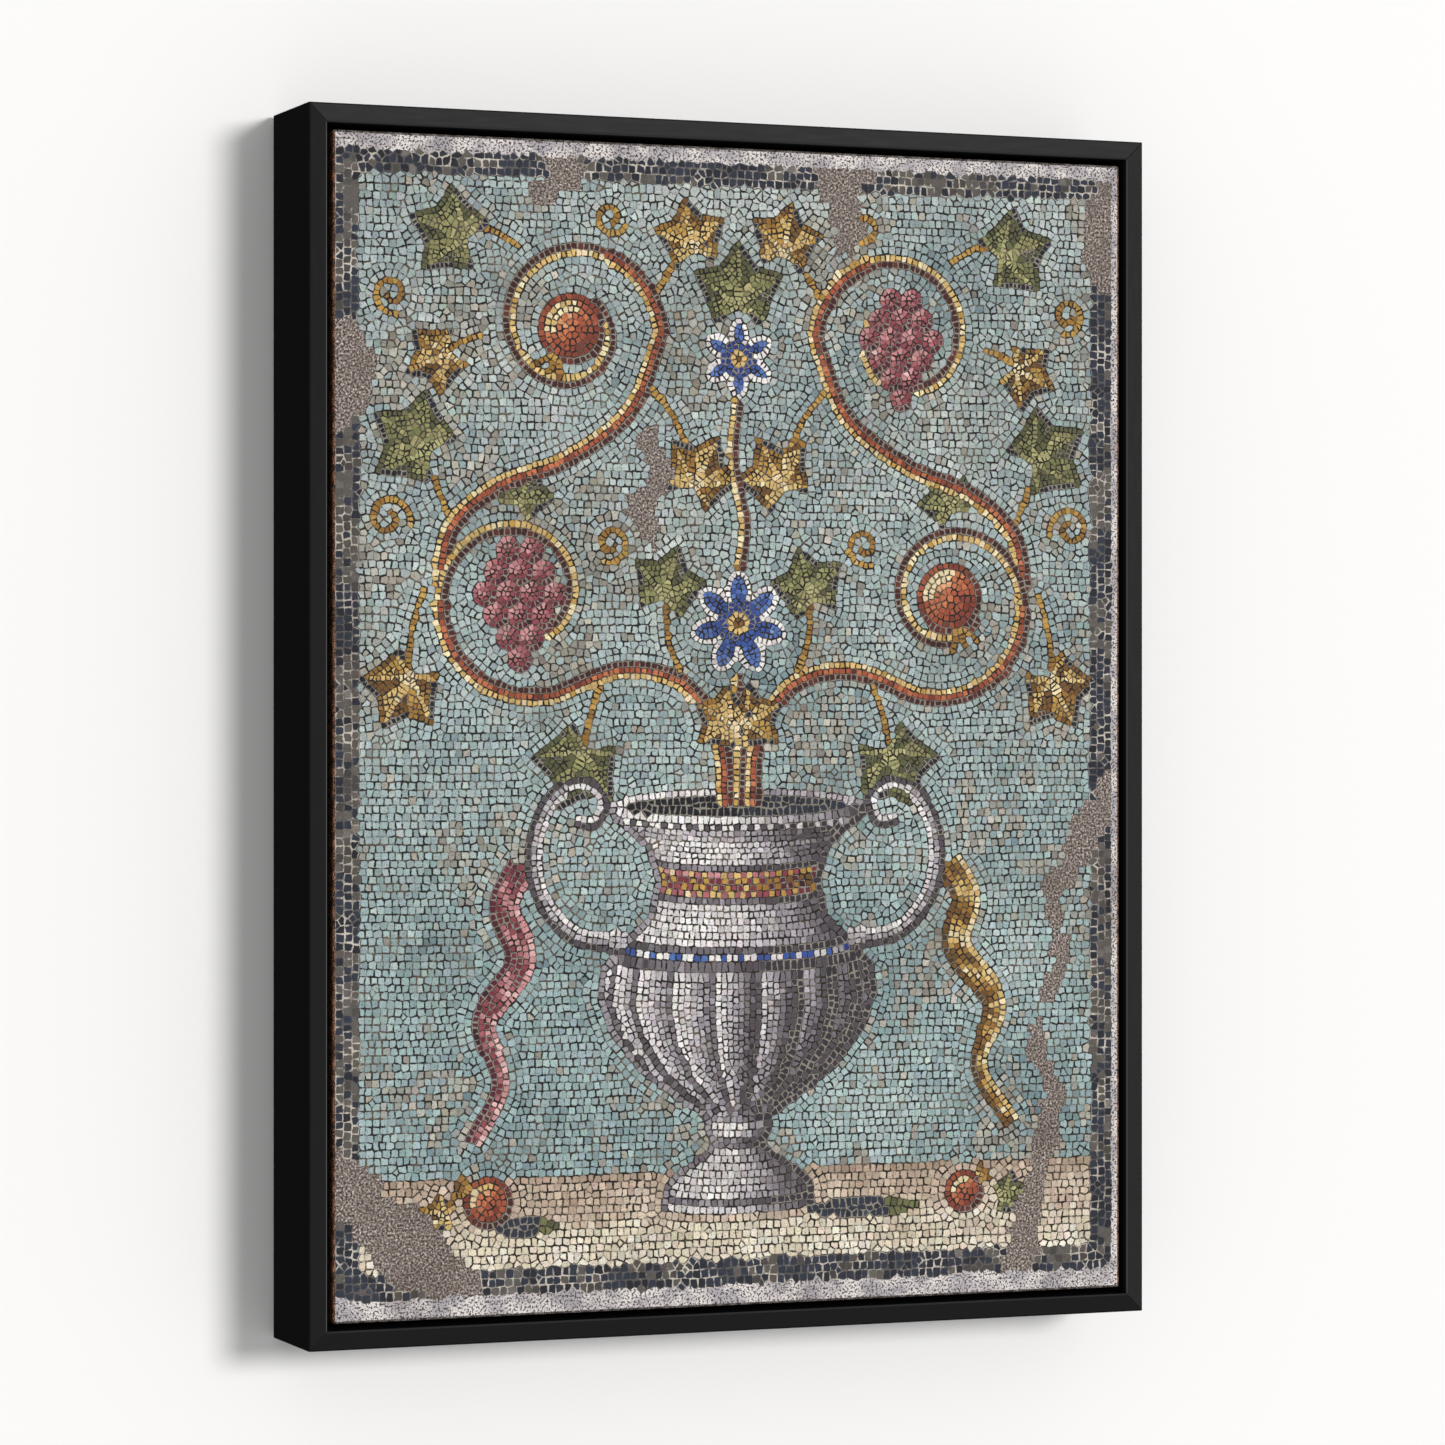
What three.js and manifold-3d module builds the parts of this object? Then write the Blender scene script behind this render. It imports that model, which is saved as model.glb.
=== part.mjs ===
// A printed canvas stretched on a wooden frame and screwed into a black floater frame, made to hang on a wall.
// Units are millimetres. +Z is up, the picture faces -Y, and the wall is the plane y = 0.
// The origin is the middle of the sawtooth hanger's outer face, where the picture is hung.
import * as THREE from "three";
import { mergeVertices } from "three/addons/utils/BufferGeometryUtils.js";
import Module from "manifold-3d";

const wasm = await Module();
wasm.setup();

// Canvas, as stretched
const canvasWidth = 410;
const canvasHeight = 560;
const canvasThickness = 0.6;
const canvasTurnIn = 30; // margin folded onto the back of the bars
const canvasEdgeRound = 0.8; // size of the soft arris where the cloth bends over a bar

// Floater frame, an L section: a wall round the canvas and a ledge behind it
const wallThickness = 9; // the front lip that shows
const frameDepth = 58;
const ledgeThickness = 12;
const ledgeOverlap = 18; // how far the ledge reaches behind the canvas
const shadowGap = 3.2; // open gap between the canvas and the wall
const faceRecess = 1.8; // the canvas face lies this far behind the lip
const lipBevel = 0.7;

// Stretcher bars
const barWidth = 36;
const barBead = 5; // flat rim that the cloth bends over
const barBevel = 4; // fall of the bar's face, so that it stays clear of the cloth

// Clearances
const restGap = 0.3; // between the cloth, the bars and the ledge where they touch
const seatGap = 0.1; // under a screw, a nail, the hanger and a bumper
const jointGap = 0.2; // across a mitre
const screwClearance = 0.3;
const cutMargin = 1; // how far a cutting solid runs past the faces that it cuts
const weldDistance = 0.001; // corners nearer than this are one

// Screws through the ledge into the bars
const screwShank = 3.5;
const screwLength = 24;
const screwHead = 7.5;
const screwHeadHeight = 1.7;
const screwInset = 10; // from the canvas edge to a screw's axis
const screwPlace = 0.5; // of the half length, from the middle of a side to each of its two screws

// Sawtooth hanger on the top rail
const hangerLength = 46;
const hangerHeight = 10;
const hangerSheet = 1;
const hangerStandOff = 2; // room for a nail's head behind the raised band
const hangerTab = 8; // flat end that takes a nail
const hangerJoggle = 3;
const hangerDrop = 15; // from the frame's top edge to the hanger's middle
const toothPitch = 2.6;
const toothDepth = 1.8;
const nailShank = 1.6;
const nailLength = 10;
const nailHead = 4;
const nailHeadHeight = 0.8;
const nailClearance = 0.15;

// Rubber bumpers on the bottom corners
const bumperDiameter = 12;
const bumperInset = 15; // from the frame's outer edges to a bumper's axis
const bumperRound = 1;
const bumperRimSteps = 3;

const roundSides = 16;

// Planes that the pieces share, from the wall forwards
const frameBack = -(hangerSheet + hangerStandOff);
const frameFront = frameBack - frameDepth;
const ledgeFront = frameBack - ledgeThickness;
const canvasBack = ledgeFront - restGap;
const canvasFront = frameFront + faceRecess;
const barBack = canvasBack - canvasThickness - restGap;
const barFront = canvasFront + canvasThickness + restGap;
const frameBorder = wallThickness + shadowGap;
const frameWidth = canvasWidth + 2 * frameBorder;
const frameHeight = canvasHeight + 2 * frameBorder;
const middleHeight = hangerDrop - frameHeight / 2;
const barLoss = 2 * (canvasThickness + restGap);
const barsWidth = canvasWidth - barLoss;
const barsHeight = canvasHeight - barLoss;

const materials = {
  frame: new THREE.MeshStandardMaterial({ color: 0x1b1b1c, roughness: 0.5, metalness: 0 }),
  canvas: new THREE.MeshStandardMaterial({ color: 0x8f9f9b, roughness: 0.85, metalness: 0 }),
  pine: new THREE.MeshStandardMaterial({ color: 0xd2ab76, roughness: 0.7, metalness: 0 }),
  brass: new THREE.MeshStandardMaterial({ color: 0xb99a58, roughness: 0.35, metalness: 1 }),
  steel: new THREE.MeshStandardMaterial({ color: 0x9a9b9d, roughness: 0.35, metalness: 1 }),
  rubber: new THREE.MeshStandardMaterial({ color: 0x242424, roughness: 0.8, metalness: 0 }),
};

// A closed geometry as a solid for joining and cutting.
function solidOf(geometry) {
  const bare = geometry.clone();
  bare.deleteAttribute("normal");
  bare.deleteAttribute("uv");
  const merged = mergeVertices(bare, weldDistance);
  return new wasm.Manifold(
    new wasm.Mesh({
      numProp: 3,
      vertProperties: merged.attributes.position.array,
      triVerts: new Uint32Array(merged.index.array),
    }),
  );
}

function geometryOf(solid) {
  const mesh = solid.getMesh();
  const geometry = new THREE.BufferGeometry();
  geometry.setAttribute("position", new THREE.BufferAttribute(mesh.vertProperties, 3));
  geometry.setIndex(new THREE.BufferAttribute(mesh.triVerts, 1));
  geometry.computeVertexNormals();
  return geometry;
}

function box(width, depth, height, x, y, z) {
  return new THREE.BoxGeometry(width, depth, height).translate(x, y, z);
}

// A round piece along Y from yFrom to yTo, turned from a radius at each end.
function roundAlongY(radiusFrom, radiusTo, yFrom, yTo, x, z) {
  return new THREE.CylinderGeometry(radiusTo, radiusFrom, yTo - yFrom, roundSides)
    .translate(x, (yFrom + yTo) / 2, z);
}

function polygon(points) {
  return new THREE.Shape(points.map(([u, v]) => new THREE.Vector2(u, v)));
}

// A straight member with both ends mitred, along X and centred on x = 0. The profile holds [inward distance, y],
// and the member's outer face is the plane z = 0.
function mitredMember(profile, length) {
  const geometry = new THREE.ExtrudeGeometry(polygon(profile), {
    depth: length,
    bevelEnabled: false,
  });
  const place = geometry.attributes.position;
  for (let i = 0; i < place.count; i++) {
    const inward = place.getX(i);
    const atEnd = place.getZ(i) > length / 2 ? 1 : -1;
    const reach = length / 2 - inward - jointGap / 2;
    place.setXYZ(i, atEnd * reach, place.getY(i), -inward);
  }
  return geometry;
}

// The four sides of a rectangle: how far the piece turns about Y, its length and its distance from the middle.
function sides(width, height) {
  return [
    { side: "top", turn: 0, length: width, out: height / 2 },
    { side: "right", turn: Math.PI / 2, length: height, out: width / 2 },
    { side: "bottom", turn: Math.PI, length: width, out: height / 2 },
    { side: "left", turn: -Math.PI / 2, length: height, out: width / 2 },
  ];
}

// Where the screws stand, as [x, z], two on each side.
function screwPlaces() {
  return sides(canvasWidth, canvasHeight).flatMap(({ side, turn, length, out }) =>
    [-1, 1].map((end, i) => {
      const place = new THREE.Vector3((end * screwPlace * length) / 2, 0, out - screwInset);
      place.applyAxisAngle(new THREE.Vector3(0, 1, 0), turn);
      return { name: `screw_${side}_${i + 1}`, x: place.x, z: place.z + middleHeight };
    }),
  );
}

const hangerNails = [-1, 1].map((end) => ({
  name: end < 0 ? "hanger_nail_left" : "hanger_nail_right",
  x: (end * (hangerLength - hangerTab)) / 2,
  z: 0,
}));

const bumpers = [-1, 1].map((end) => ({
  name: end < 0 ? "wall_bumper_left" : "wall_bumper_right",
  x: end * (frameWidth / 2 - bumperInset),
  z: middleHeight - frameHeight / 2 + bumperInset,
}));

// Cuts a round hole along Y for each place out of a geometry that is already where it belongs.
function drilled(geometry, places, radius, yFrom, yTo) {
  const left = places.reduce(
    (solid, { x, z }) => solid.subtract(solidOf(roundAlongY(radius, radius, yFrom, yTo, x, z))),
    solidOf(geometry),
  );
  return geometryOf(left);
}

function placed(geometry, turn, out) {
  return geometry.translate(0, 0, out).rotateY(turn).translate(0, 0, middleHeight);
}

const screws = screwPlaces();
const screwHole = screwShank / 2 + screwClearance;
const screwTip = frameBack + seatGap - screwLength;
const nailHole = nailShank / 2 + nailClearance;
const nailSeat = frameBack + hangerSheet + 2 * seatGap;
const nailTip = nailSeat - nailLength;

function screwsOf(side) {
  return screws.filter(({ name }) => name.includes(`_${side}_`));
}

function frameRail({ side, turn, length, out }) {
  const ledgeReach = frameBorder + ledgeOverlap;
  const profile = [
    [0, frameBack],
    [0, frameFront + lipBevel],
    [lipBevel, frameFront],
    [wallThickness - lipBevel, frameFront],
    [wallThickness, frameFront + lipBevel],
    [wallThickness, ledgeFront],
    [ledgeReach, ledgeFront],
    [ledgeReach, frameBack],
  ].reverse();
  const rail = placed(mitredMember(profile, length), turn, out);
  const nails = side === "top" ? hangerNails : [];
  const screwed = drilled(
    rail,
    screwsOf(side),
    screwHole,
    ledgeFront - cutMargin,
    frameBack + cutMargin,
  );
  return drilled(screwed, nails, nailHole, nailTip - nailClearance, frameBack + cutMargin);
}

function stretcherBar({ side, turn, length, out }) {
  const profile = [
    [0, barBack],
    [0, barFront],
    [barBead, barFront],
    [barWidth, barFront + barBevel],
    [barWidth, barBack],
  ].reverse();
  const bar = placed(mitredMember(profile, length), turn, out);
  return drilled(bar, screwsOf(side), screwHole, screwTip - screwClearance, barBack + cutMargin);
}

// A section through the stretched cloth's outside, across a span: [along the span, y].
function clothSection(span) {
  const half = span / 2;
  const round = canvasEdgeRound;
  return polygon([
    [-half, canvasBack],
    [-half, canvasFront + round],
    [-half + round, canvasFront],
    [half - round, canvasFront],
    [half, canvasFront + round],
    [half, canvasBack],
  ]);
}

// The cloth: a face, four sides and a margin folded onto the back, one skin that is open behind.
function canvas() {
  const skin = 2 * canvasThickness;
  const margins = 2 * canvasTurnIn;
  const depth = canvasBack - canvasFront;
  const middle = (canvasBack + canvasFront) / 2;
  const upright = new THREE.ExtrudeGeometry(clothSection(canvasHeight), {
    depth: canvasWidth,
    bevelEnabled: false,
  })
    .translate(0, 0, -canvasWidth / 2)
    .rotateY(-Math.PI / 2);
  const across = new THREE.ExtrudeGeometry(clothSection(canvasWidth), {
    depth: canvasHeight,
    bevelEnabled: false,
  }).translate(0, 0, -canvasHeight / 2);
  const inside = box(canvasWidth - skin, depth - skin, canvasHeight - skin, 0, middle, 0);
  const opening = box(canvasWidth - margins, depth, canvasHeight - margins, 0, canvasBack, 0);
  const cloth = solidOf(upright)
    .intersect(solidOf(across))
    .subtract(solidOf(inside))
    .subtract(solidOf(opening));
  const whole = geometryOf(cloth).translate(0, 0, middleHeight);
  const holeFrom = canvasBack - canvasThickness - cutMargin;
  return drilled(whole, screws, screwHole, holeFrom, canvasBack + cutMargin);
}

function screw({ x, z }) {
  const seat = frameBack + seatGap;
  const top = seat + screwHeadHeight;
  const shank = roundAlongY(screwShank / 2, screwShank / 2, screwTip, seat + seatGap, x, z);
  const head = roundAlongY(screwHead / 2, (screwHead - screwHeadHeight) / 2, seat, top, x, z);
  return geometryOf(solidOf(shank).add(solidOf(head)));
}

// The strip seen from above: flat tabs on the wood, joggles, and a raised band with teeth along its lower edge.
function sawtoothHanger() {
  const half = hangerLength / 2;
  const low = frameBack + seatGap;
  const high = -hangerSheet;
  const outline = [
    [-half, low],
    [-half + hangerTab, low],
    [-half + hangerTab + hangerJoggle, high],
    [half - hangerTab - hangerJoggle, high],
    [half - hangerTab, low],
    [half, low],
    [half, low + hangerSheet],
    [half - hangerTab, low + hangerSheet],
    [half - hangerTab - hangerJoggle, 0],
    [-half + hangerTab + hangerJoggle, 0],
    [-half + hangerTab, low + hangerSheet],
    [-half, low + hangerSheet],
  ];
  const strip = new THREE.ExtrudeGeometry(polygon(outline), {
    depth: hangerHeight,
    bevelEnabled: false,
  }).translate(0, 0, -hangerHeight / 2);
  const band = hangerLength - 2 * (hangerTab + hangerJoggle);
  const teeth = Math.floor(band / toothPitch);
  const edge = -hangerHeight / 2;
  let solid = solidOf(strip);
  for (let i = 0; i < teeth; i++) {
    const middle = (i - (teeth - 1) / 2) * toothPitch;
    const notch = polygon([
      [middle - toothPitch / 2, edge - cutMargin],
      [middle - toothPitch / 2, edge],
      [middle, edge + toothDepth],
      [middle + toothPitch / 2, edge],
      [middle + toothPitch / 2, edge - cutMargin],
    ]);
    const cutter = new THREE.ExtrudeGeometry(notch, {
      depth: hangerSheet + 2 * cutMargin,
      bevelEnabled: false,
    })
      .rotateX(Math.PI / 2)
      .translate(0, cutMargin, 0);
    solid = solid.subtract(solidOf(cutter));
  }
  const holeFrom = frameBack - cutMargin;
  return drilled(geometryOf(solid), hangerNails, nailHole, holeFrom, nailSeat + cutMargin);
}

function hangerNail({ x, z }) {
  const top = nailSeat + nailHeadHeight;
  const shank = roundAlongY(nailShank / 2, nailShank / 2, nailTip, nailSeat + seatGap, x, z);
  const head = roundAlongY(nailHead / 2, (nailHead - nailHeadHeight) / 2, nailSeat, top, x, z);
  return geometryOf(solidOf(shank).add(solidOf(head)));
}

// A turned pad with a rounded rim, stuck to the frame's back.
function bumper({ x, z }) {
  const radius = bumperDiameter / 2;
  const seat = frameBack + seatGap;
  const rim = Array.from({ length: bumperRimSteps + 1 }, (_, i) => {
    const turn = (Math.PI / 2) * (i / bumperRimSteps);
    const out = radius - bumperRound * (1 - Math.cos(turn));
    return [out, -bumperRound * (1 - Math.sin(turn))];
  });
  const outline = [[0, seat], [radius, seat], ...rim, [0, 0]];
  const points = outline.map(([r, y]) => new THREE.Vector2(r, y));
  return new THREE.LatheGeometry(points, roundSides).translate(x, 0, z);
}

const group = new THREE.Group();

function add(name, geometry, material) {
  const mesh = new THREE.Mesh(geometry, material);
  mesh.name = name;
  group.add(mesh);
}

for (const one of sides(frameWidth, frameHeight)) {
  add(`frame_rail_${one.side}`, frameRail(one), materials.frame);
}
for (const one of sides(barsWidth, barsHeight)) {
  add(`stretcher_bar_${one.side}`, stretcherBar(one), materials.pine);
}
add("canvas", canvas(), materials.canvas);
for (const one of screws) {
  add(one.name, screw(one), materials.steel);
}
add("sawtooth_hanger", sawtoothHanger(), materials.brass);
for (const one of hangerNails) {
  add(one.name, hangerNail(one), materials.brass);
}
for (const one of bumpers) {
  add(one.name, bumper(one), materials.rubber);
}

export default group;
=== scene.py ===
import math
from collections import defaultdict
from itertools import count

import bpy
import numpy as np
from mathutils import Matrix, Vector, kdtree, noise
from mathutils.geometry import delaunay_2d_cdt


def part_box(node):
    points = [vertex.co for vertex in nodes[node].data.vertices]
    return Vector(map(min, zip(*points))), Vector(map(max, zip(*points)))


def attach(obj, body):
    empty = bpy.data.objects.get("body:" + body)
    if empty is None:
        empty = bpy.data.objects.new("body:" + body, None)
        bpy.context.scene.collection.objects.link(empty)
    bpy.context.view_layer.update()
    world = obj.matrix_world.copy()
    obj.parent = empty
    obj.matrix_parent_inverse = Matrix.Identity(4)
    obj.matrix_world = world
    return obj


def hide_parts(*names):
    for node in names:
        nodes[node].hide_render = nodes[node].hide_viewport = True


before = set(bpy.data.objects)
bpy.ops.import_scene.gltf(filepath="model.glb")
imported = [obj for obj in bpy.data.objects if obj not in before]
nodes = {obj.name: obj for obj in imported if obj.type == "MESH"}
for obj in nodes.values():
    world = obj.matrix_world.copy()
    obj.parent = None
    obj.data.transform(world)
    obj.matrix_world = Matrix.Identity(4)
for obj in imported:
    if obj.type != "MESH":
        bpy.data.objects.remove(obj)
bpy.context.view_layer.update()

# A mosaic-look print on canvas, in a black floater frame on a pale wall. The frame, its bars and its hanger
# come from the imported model. This script prints the picture, stretches the cloth, sets the screws and
# staples and finishes every surface.
mm = 0.001
random = np.random.default_rng(71)

canvasLow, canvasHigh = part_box("canvas")
pictureMiddle = Vector((0.0, canvasLow.y, (canvasLow.z + canvasHigh.z) / 2))


def newObject(name, data):
    made = bpy.data.objects.new(name, data)
    bpy.context.scene.collection.objects.link(made)
    return made


# Camera, level, to the left of the picture

camera = {
    "lens": 121.9,
    "sensor": 36.0,
    "place": (-0.8867, -2.2550, -0.2752),
    "turn": -21.8,  # degrees about Z, from looking straight at the wall
}

eye = newObject("camera", bpy.data.cameras.new("camera"))
eye.data.lens = camera["lens"]
eye.data.sensor_width = camera["sensor"]
eye.location = camera["place"]
eye.rotation_euler = (math.radians(90), 0, math.radians(camera["turn"]))
bpy.context.scene.camera = eye
bpy.context.scene.view_settings.view_transform = "Standard"
print("camera set")


# Node trees, for finishes and for what repeats

class Flow:  # one output of a node, which Python's own signs work on
    def __init__(self, graph, socket):
        self.graph = graph
        self.socket = socket

    def __add__(self, other):
        return self.graph.math("ADD", self, other)

    def __sub__(self, other):
        return self.graph.math("SUBTRACT", self, other)

    def __rsub__(self, other):
        return self.graph.math("SUBTRACT", other, self)

    def __mul__(self, other):
        return self.graph.math("MULTIPLY", self, other)

    def __truediv__(self, other):
        return self.graph.math("DIVIDE", self, other)

    def __rtruediv__(self, other):
        return self.graph.math("DIVIDE", other, self)

    def __pow__(self, other):
        return self.graph.math("POWER", self, other)

    def __rpow__(self, other):
        return self.graph.math("POWER", other, self)

    __radd__ = __add__
    __rmul__ = __mul__


class Graph:
    def __init__(self, tree):
        self.tree = tree

    def node(self, kind, settings=None, values=None, output=0):
        made = self.tree.nodes.new(kind)
        for name, value in (settings or {}).items():
            setattr(made, name, value)
        pairs = values.items() if isinstance(values, dict) else enumerate(values or [])
        for key, value in pairs:
            self.feed(made.inputs[key], value)
        return Flow(self, made.outputs[output])

    def feed(self, socket, value):
        if isinstance(value, Flow):
            self.tree.links.new(value.socket, socket)
        else:
            socket.default_value = value

    def math(self, operation, *values):
        return self.node("ShaderNodeMath", {"operation": operation}, values)

    def parts(self, vector):
        split = self.node("ShaderNodeSeparateXYZ", values=[vector]).socket.node
        return [Flow(self, socket) for socket in split.outputs]


class Finish(Graph):
    def __init__(self, name):
        self.material = bpy.data.materials.new(name)
        self.material.use_nodes = True
        super().__init__(self.material.node_tree)
        self.tree.nodes.clear()
        self.shader = self.tree.nodes.new("ShaderNodeBsdfPrincipled")
        self.output = self.tree.nodes.new("ShaderNodeOutputMaterial")
        self.tree.links.new(self.shader.outputs[0], self.output.inputs["Surface"])

    def set(self, **values):
        for name, value in values.items():
            self.feed(self.shader.inputs[name.replace("_", " ")], value)

    def places(self, scale):  # object coordinates, stretched
        found = self.node("ShaderNodeTexCoord", output="Object")
        return self.node("ShaderNodeMapping", values={"Vector": found, "Scale": scale})

    def noise(self, scale, detail, roughness, where=None):
        where = where or self.node("ShaderNodeTexCoord", output="Object")
        values = {"Vector": where, "Scale": scale, "Detail": detail, "Roughness": roughness}
        return self.node("ShaderNodeTexNoise", values=values)

    def remap(self, value, low, high, newLow=0.0, newHigh=1.0):
        return self.node("ShaderNodeMapRange", values=[value, low, high, newLow, newHigh])

    def mix(self, factor, first, second, blend="MIX"):
        settings = {"data_type": "RGBA", "blend_type": blend, "clamp_factor": True, "clamp_result": True}
        return self.node("ShaderNodeMix", settings, {0: factor, 6: first, 7: second}, output=2)

    def bump(self, height, depth, strength):
        return self.node("ShaderNodeBump", values={"Strength": strength, "Distance": depth, "Height": height})


class Repeater(Graph):  # a Geometry Nodes tree with named inputs, which ends in one plain mesh
    def __init__(self, name, inputs, material):
        super().__init__(bpy.data.node_groups.new(name, "GeometryNodeTree"))
        self.material = material
        self.values = {}
        face = self.tree.interface
        face.new_socket("Geometry", in_out="INPUT", socket_type="NodeSocketGeometry")
        face.new_socket("Geometry", in_out="OUTPUT", socket_type="NodeSocketGeometry")
        for label, value in inputs.items():
            kind = "NodeSocketInt" if isinstance(value, int) else "NodeSocketFloat"
            self.values[face.new_socket(label, in_out="INPUT", socket_type=kind).identifier] = value
        self.entry = self.tree.nodes.new("NodeGroupInput")
        self.exit = self.tree.nodes.new("NodeGroupOutput")

    def input(self, label):
        return Flow(self, self.entry.outputs[label])

    def vector(self, x=0.0, y=0.0, z=0.0):
        return self.node("ShaderNodeCombineXYZ", values=[x, y, z])

    def lifted(self, shape, height):
        values = {"Geometry": shape, "Translation": self.vector(z=height)}
        return self.node("GeometryNodeTransform", values=values)

    def spread(self, points, shape, lie, least, most):  # one on each point, each turned by a random angle
        values = {"Points": points, "Instance": shape, "Rotation": lie}
        instances = self.node("GeometryNodeInstanceOnPoints", values=values)
        values = {2: least, 3: most, "Seed": self.input("Seed")}
        turn = self.node("FunctionNodeRandomValue", {"data_type": "FLOAT"}, values, output=1)
        values = {"Instances": instances, "Rotation": self.vector(z=turn)}
        return self.node("GeometryNodeRotateInstances", values=values)

    def make(self, instances, name, points, edges):
        real = self.node("GeometryNodeRealizeInstances", values=[instances])
        dressed = self.node("GeometryNodeSetMaterial", values={"Geometry": real, "Material": self.material})
        self.feed(self.exit.inputs[0], dressed)
        data = bpy.data.meshes.new(name)
        data.from_pydata(points, edges, [])
        piece = newObject(name, data)
        live = piece.modifiers.new(name, "NODES")
        live.node_group = self.tree
        for identifier, value in self.values.items():
            live[identifier] = value
        graph = bpy.context.evaluated_depsgraph_get()
        plain = bpy.data.meshes.new_from_object(piece.evaluated_get(graph))
        piece.modifiers.remove(live)
        piece.data = plain
        piece.data.name = name
        return piece


def linear(colour):  # a colour in 0 to 255 as the eye sees it, for a shader
    steps = [c / 255 for c in colour]
    return tuple(c / 12.92 if c <= 0.04045 else ((c + 0.055) / 1.055) ** 2.4 for c in steps) + (1.0,)


# The printed picture. Its sizes are in millimetres, and so are places on it, measured from its middle.

picture = {
    "round": 1.2,  # how softly the cloth turns over a bar
    "fieldStone": 3.7,
    "borderStone": 4.0,
    "kraterStone": 3.2,
    "plantStone": 2.9,
    "fineStone": 2.5,
    "border": {"left": 0.0, "right": 3.0, "top": 5.5, "bottom": 9.0},  # plaster outside the dark border
    "borderRows": 3,
    "plasterRows": (1.4, 5.0),
    "haloRows": 2,  # rows of ground that follow a motif's outline
    "restTries": 60000,
    "groundTop": -214.0,
    "shadeWay": (0.64, -0.77),  # the way the pictured light falls
    # how far one stone strays from the shade asked for, in steps of its list, in brightness and in hue
    "strays": (0.28, 0.04, 0.009),
    "inkRange": (8, 250),  # the darkest and the lightest that is printed, 0 to 255
}

halfWidth = (canvasHigh.x - canvasLow.x) / 2 / mm - picture["round"]
halfHeight = (canvasHigh.z - canvasLow.z) / 2 / mm - picture["round"]
kinds = {"picture": 0, "border": 1, "mortar": 2, "plaster": 3, "side": 4}  # what the print shows on a face


# Stones of the printed mosaic, each list from light to dark

stones = {
    "teal": [(197, 202, 198), (180, 189, 185), (165, 178, 176), (147, 162, 162), (123, 140, 143)],
    "dirt": [(194, 186, 170), (164, 155, 140), (136, 128, 116), (106, 98, 88)],
    "marble": [(238, 234, 230), (214, 208, 208), (186, 180, 184), (152, 146, 152), (116, 110, 116),
               (84, 78, 84), (56, 52, 58)],
    "wine": [(224, 180, 178), (198, 140, 142), (168, 100, 106), (140, 70, 80), (112, 48, 60), (84, 36, 48),
             (56, 28, 36)],
    "ochre": [(236, 216, 172), (212, 180, 116), (186, 146, 74), (152, 112, 52), (116, 82, 42), (78, 56, 34)],
    "rust": [(220, 160, 118), (192, 112, 76), (162, 84, 58), (128, 62, 48), (98, 48, 42), (66, 36, 34)],
    "navy": [(86, 89, 97), (62, 67, 77), (47, 52, 64), (37, 40, 49), (28, 29, 35)],
    "worn": [(112, 106, 100), (92, 87, 82), (73, 69, 66)],
    "sand": [(222, 208, 190), (208, 190, 170), (192, 172, 152), (174, 152, 132)],
    "cream": [(230, 222, 204), (216, 204, 182), (198, 184, 160)],
    "olive": [(176, 172, 120), (146, 144, 96), (116, 118, 76), (90, 92, 62), (62, 64, 46)],
    "cobalt": [(128, 156, 204), (84, 116, 182), (56, 84, 152), (40, 58, 118)],
}


def stone(name, tone):
    # one of the few stones of that name nearest to tone, 0 light and 1 dark, as a mason would pick it
    shades = stones[name]
    step, brightness, hue = picture["strays"]
    place = tone * (len(shades) - 1) + random.normal(0, step)
    picked = np.array(shades[int(np.clip(round(place), 0, len(shades) - 1))], float)
    return picked * (1 + random.normal(0, brightness)) * (1 + random.normal(0, hue, 3))


# Lines in the picture, as rows of points

pathStep = 0.5


def travelled(path):  # the way along a path to each of its points
    return np.concatenate([[0], np.cumsum(np.hypot(*np.diff(path, axis=0).T))])


def evenly(points):
    points = np.asarray(points, float)
    along = travelled(points)
    places = np.linspace(0, along[-1], max(3, int(along[-1] / pathStep)))
    return np.column_stack([np.interp(places, along, points[:, k]) for k in (0, 1)])


def curve(points, closed=False):  # a smooth line through the points
    points = np.asarray(points, float)
    if closed:
        points = np.vstack([points[-1], points, points[0], points[1]])
    else:
        points = np.vstack([2 * points[0] - points[1], points, 2 * points[-1] - points[-2]])
    t = np.linspace(0, 1, 24, endpoint=False)[:, None]
    parts = [0.5 * (2 * b + (c - a) * t + (2 * a - 5 * b + 4 * c - d) * t**2 + (3 * b - a - 3 * c + d) * t**3)
             for a, b, c, d in zip(points, points[1:], points[2:], points[3:])]
    return evenly(np.vstack([*parts, points[-2:-1]]))


def ring(x, z, radius, tall=1.0):
    turns = np.linspace(0, 2 * math.pi, max(16, int(7 * radius)))
    return np.column_stack([x + radius * np.cos(turns), z + tall * radius * np.sin(turns)])


def spiral(x, z, start, end, fromAngle, turns):
    # from radius start, at fromAngle in degrees, to radius end; positive turns run anticlockwise
    share = np.linspace(0, 1, 160)
    angle = math.radians(fromAngle) + share * turns * 2 * math.pi
    radius = start + (end - start) * share**0.85
    return evenly(np.column_stack([x + radius * np.cos(angle), z + radius * np.sin(angle)]))


def headings(path, closed=False):
    if closed and np.allclose(path[0], path[-1]):
        ahead = np.roll(path[:-1], -1, axis=0) - np.roll(path[:-1], 1, axis=0)
        ahead = np.vstack([ahead, ahead[:1]])
    else:
        ahead = np.gradient(path, axis=0)
    return ahead / np.maximum(np.hypot(*ahead.T), 1e-9)[:, None]


def shifted(path, distance, closed=False):  # to the left of its heading
    ahead = headings(path, closed)
    side = np.column_stack([-ahead[:, 1], ahead[:, 0]])
    return path + side * np.reshape(distance, (-1, 1))


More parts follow.
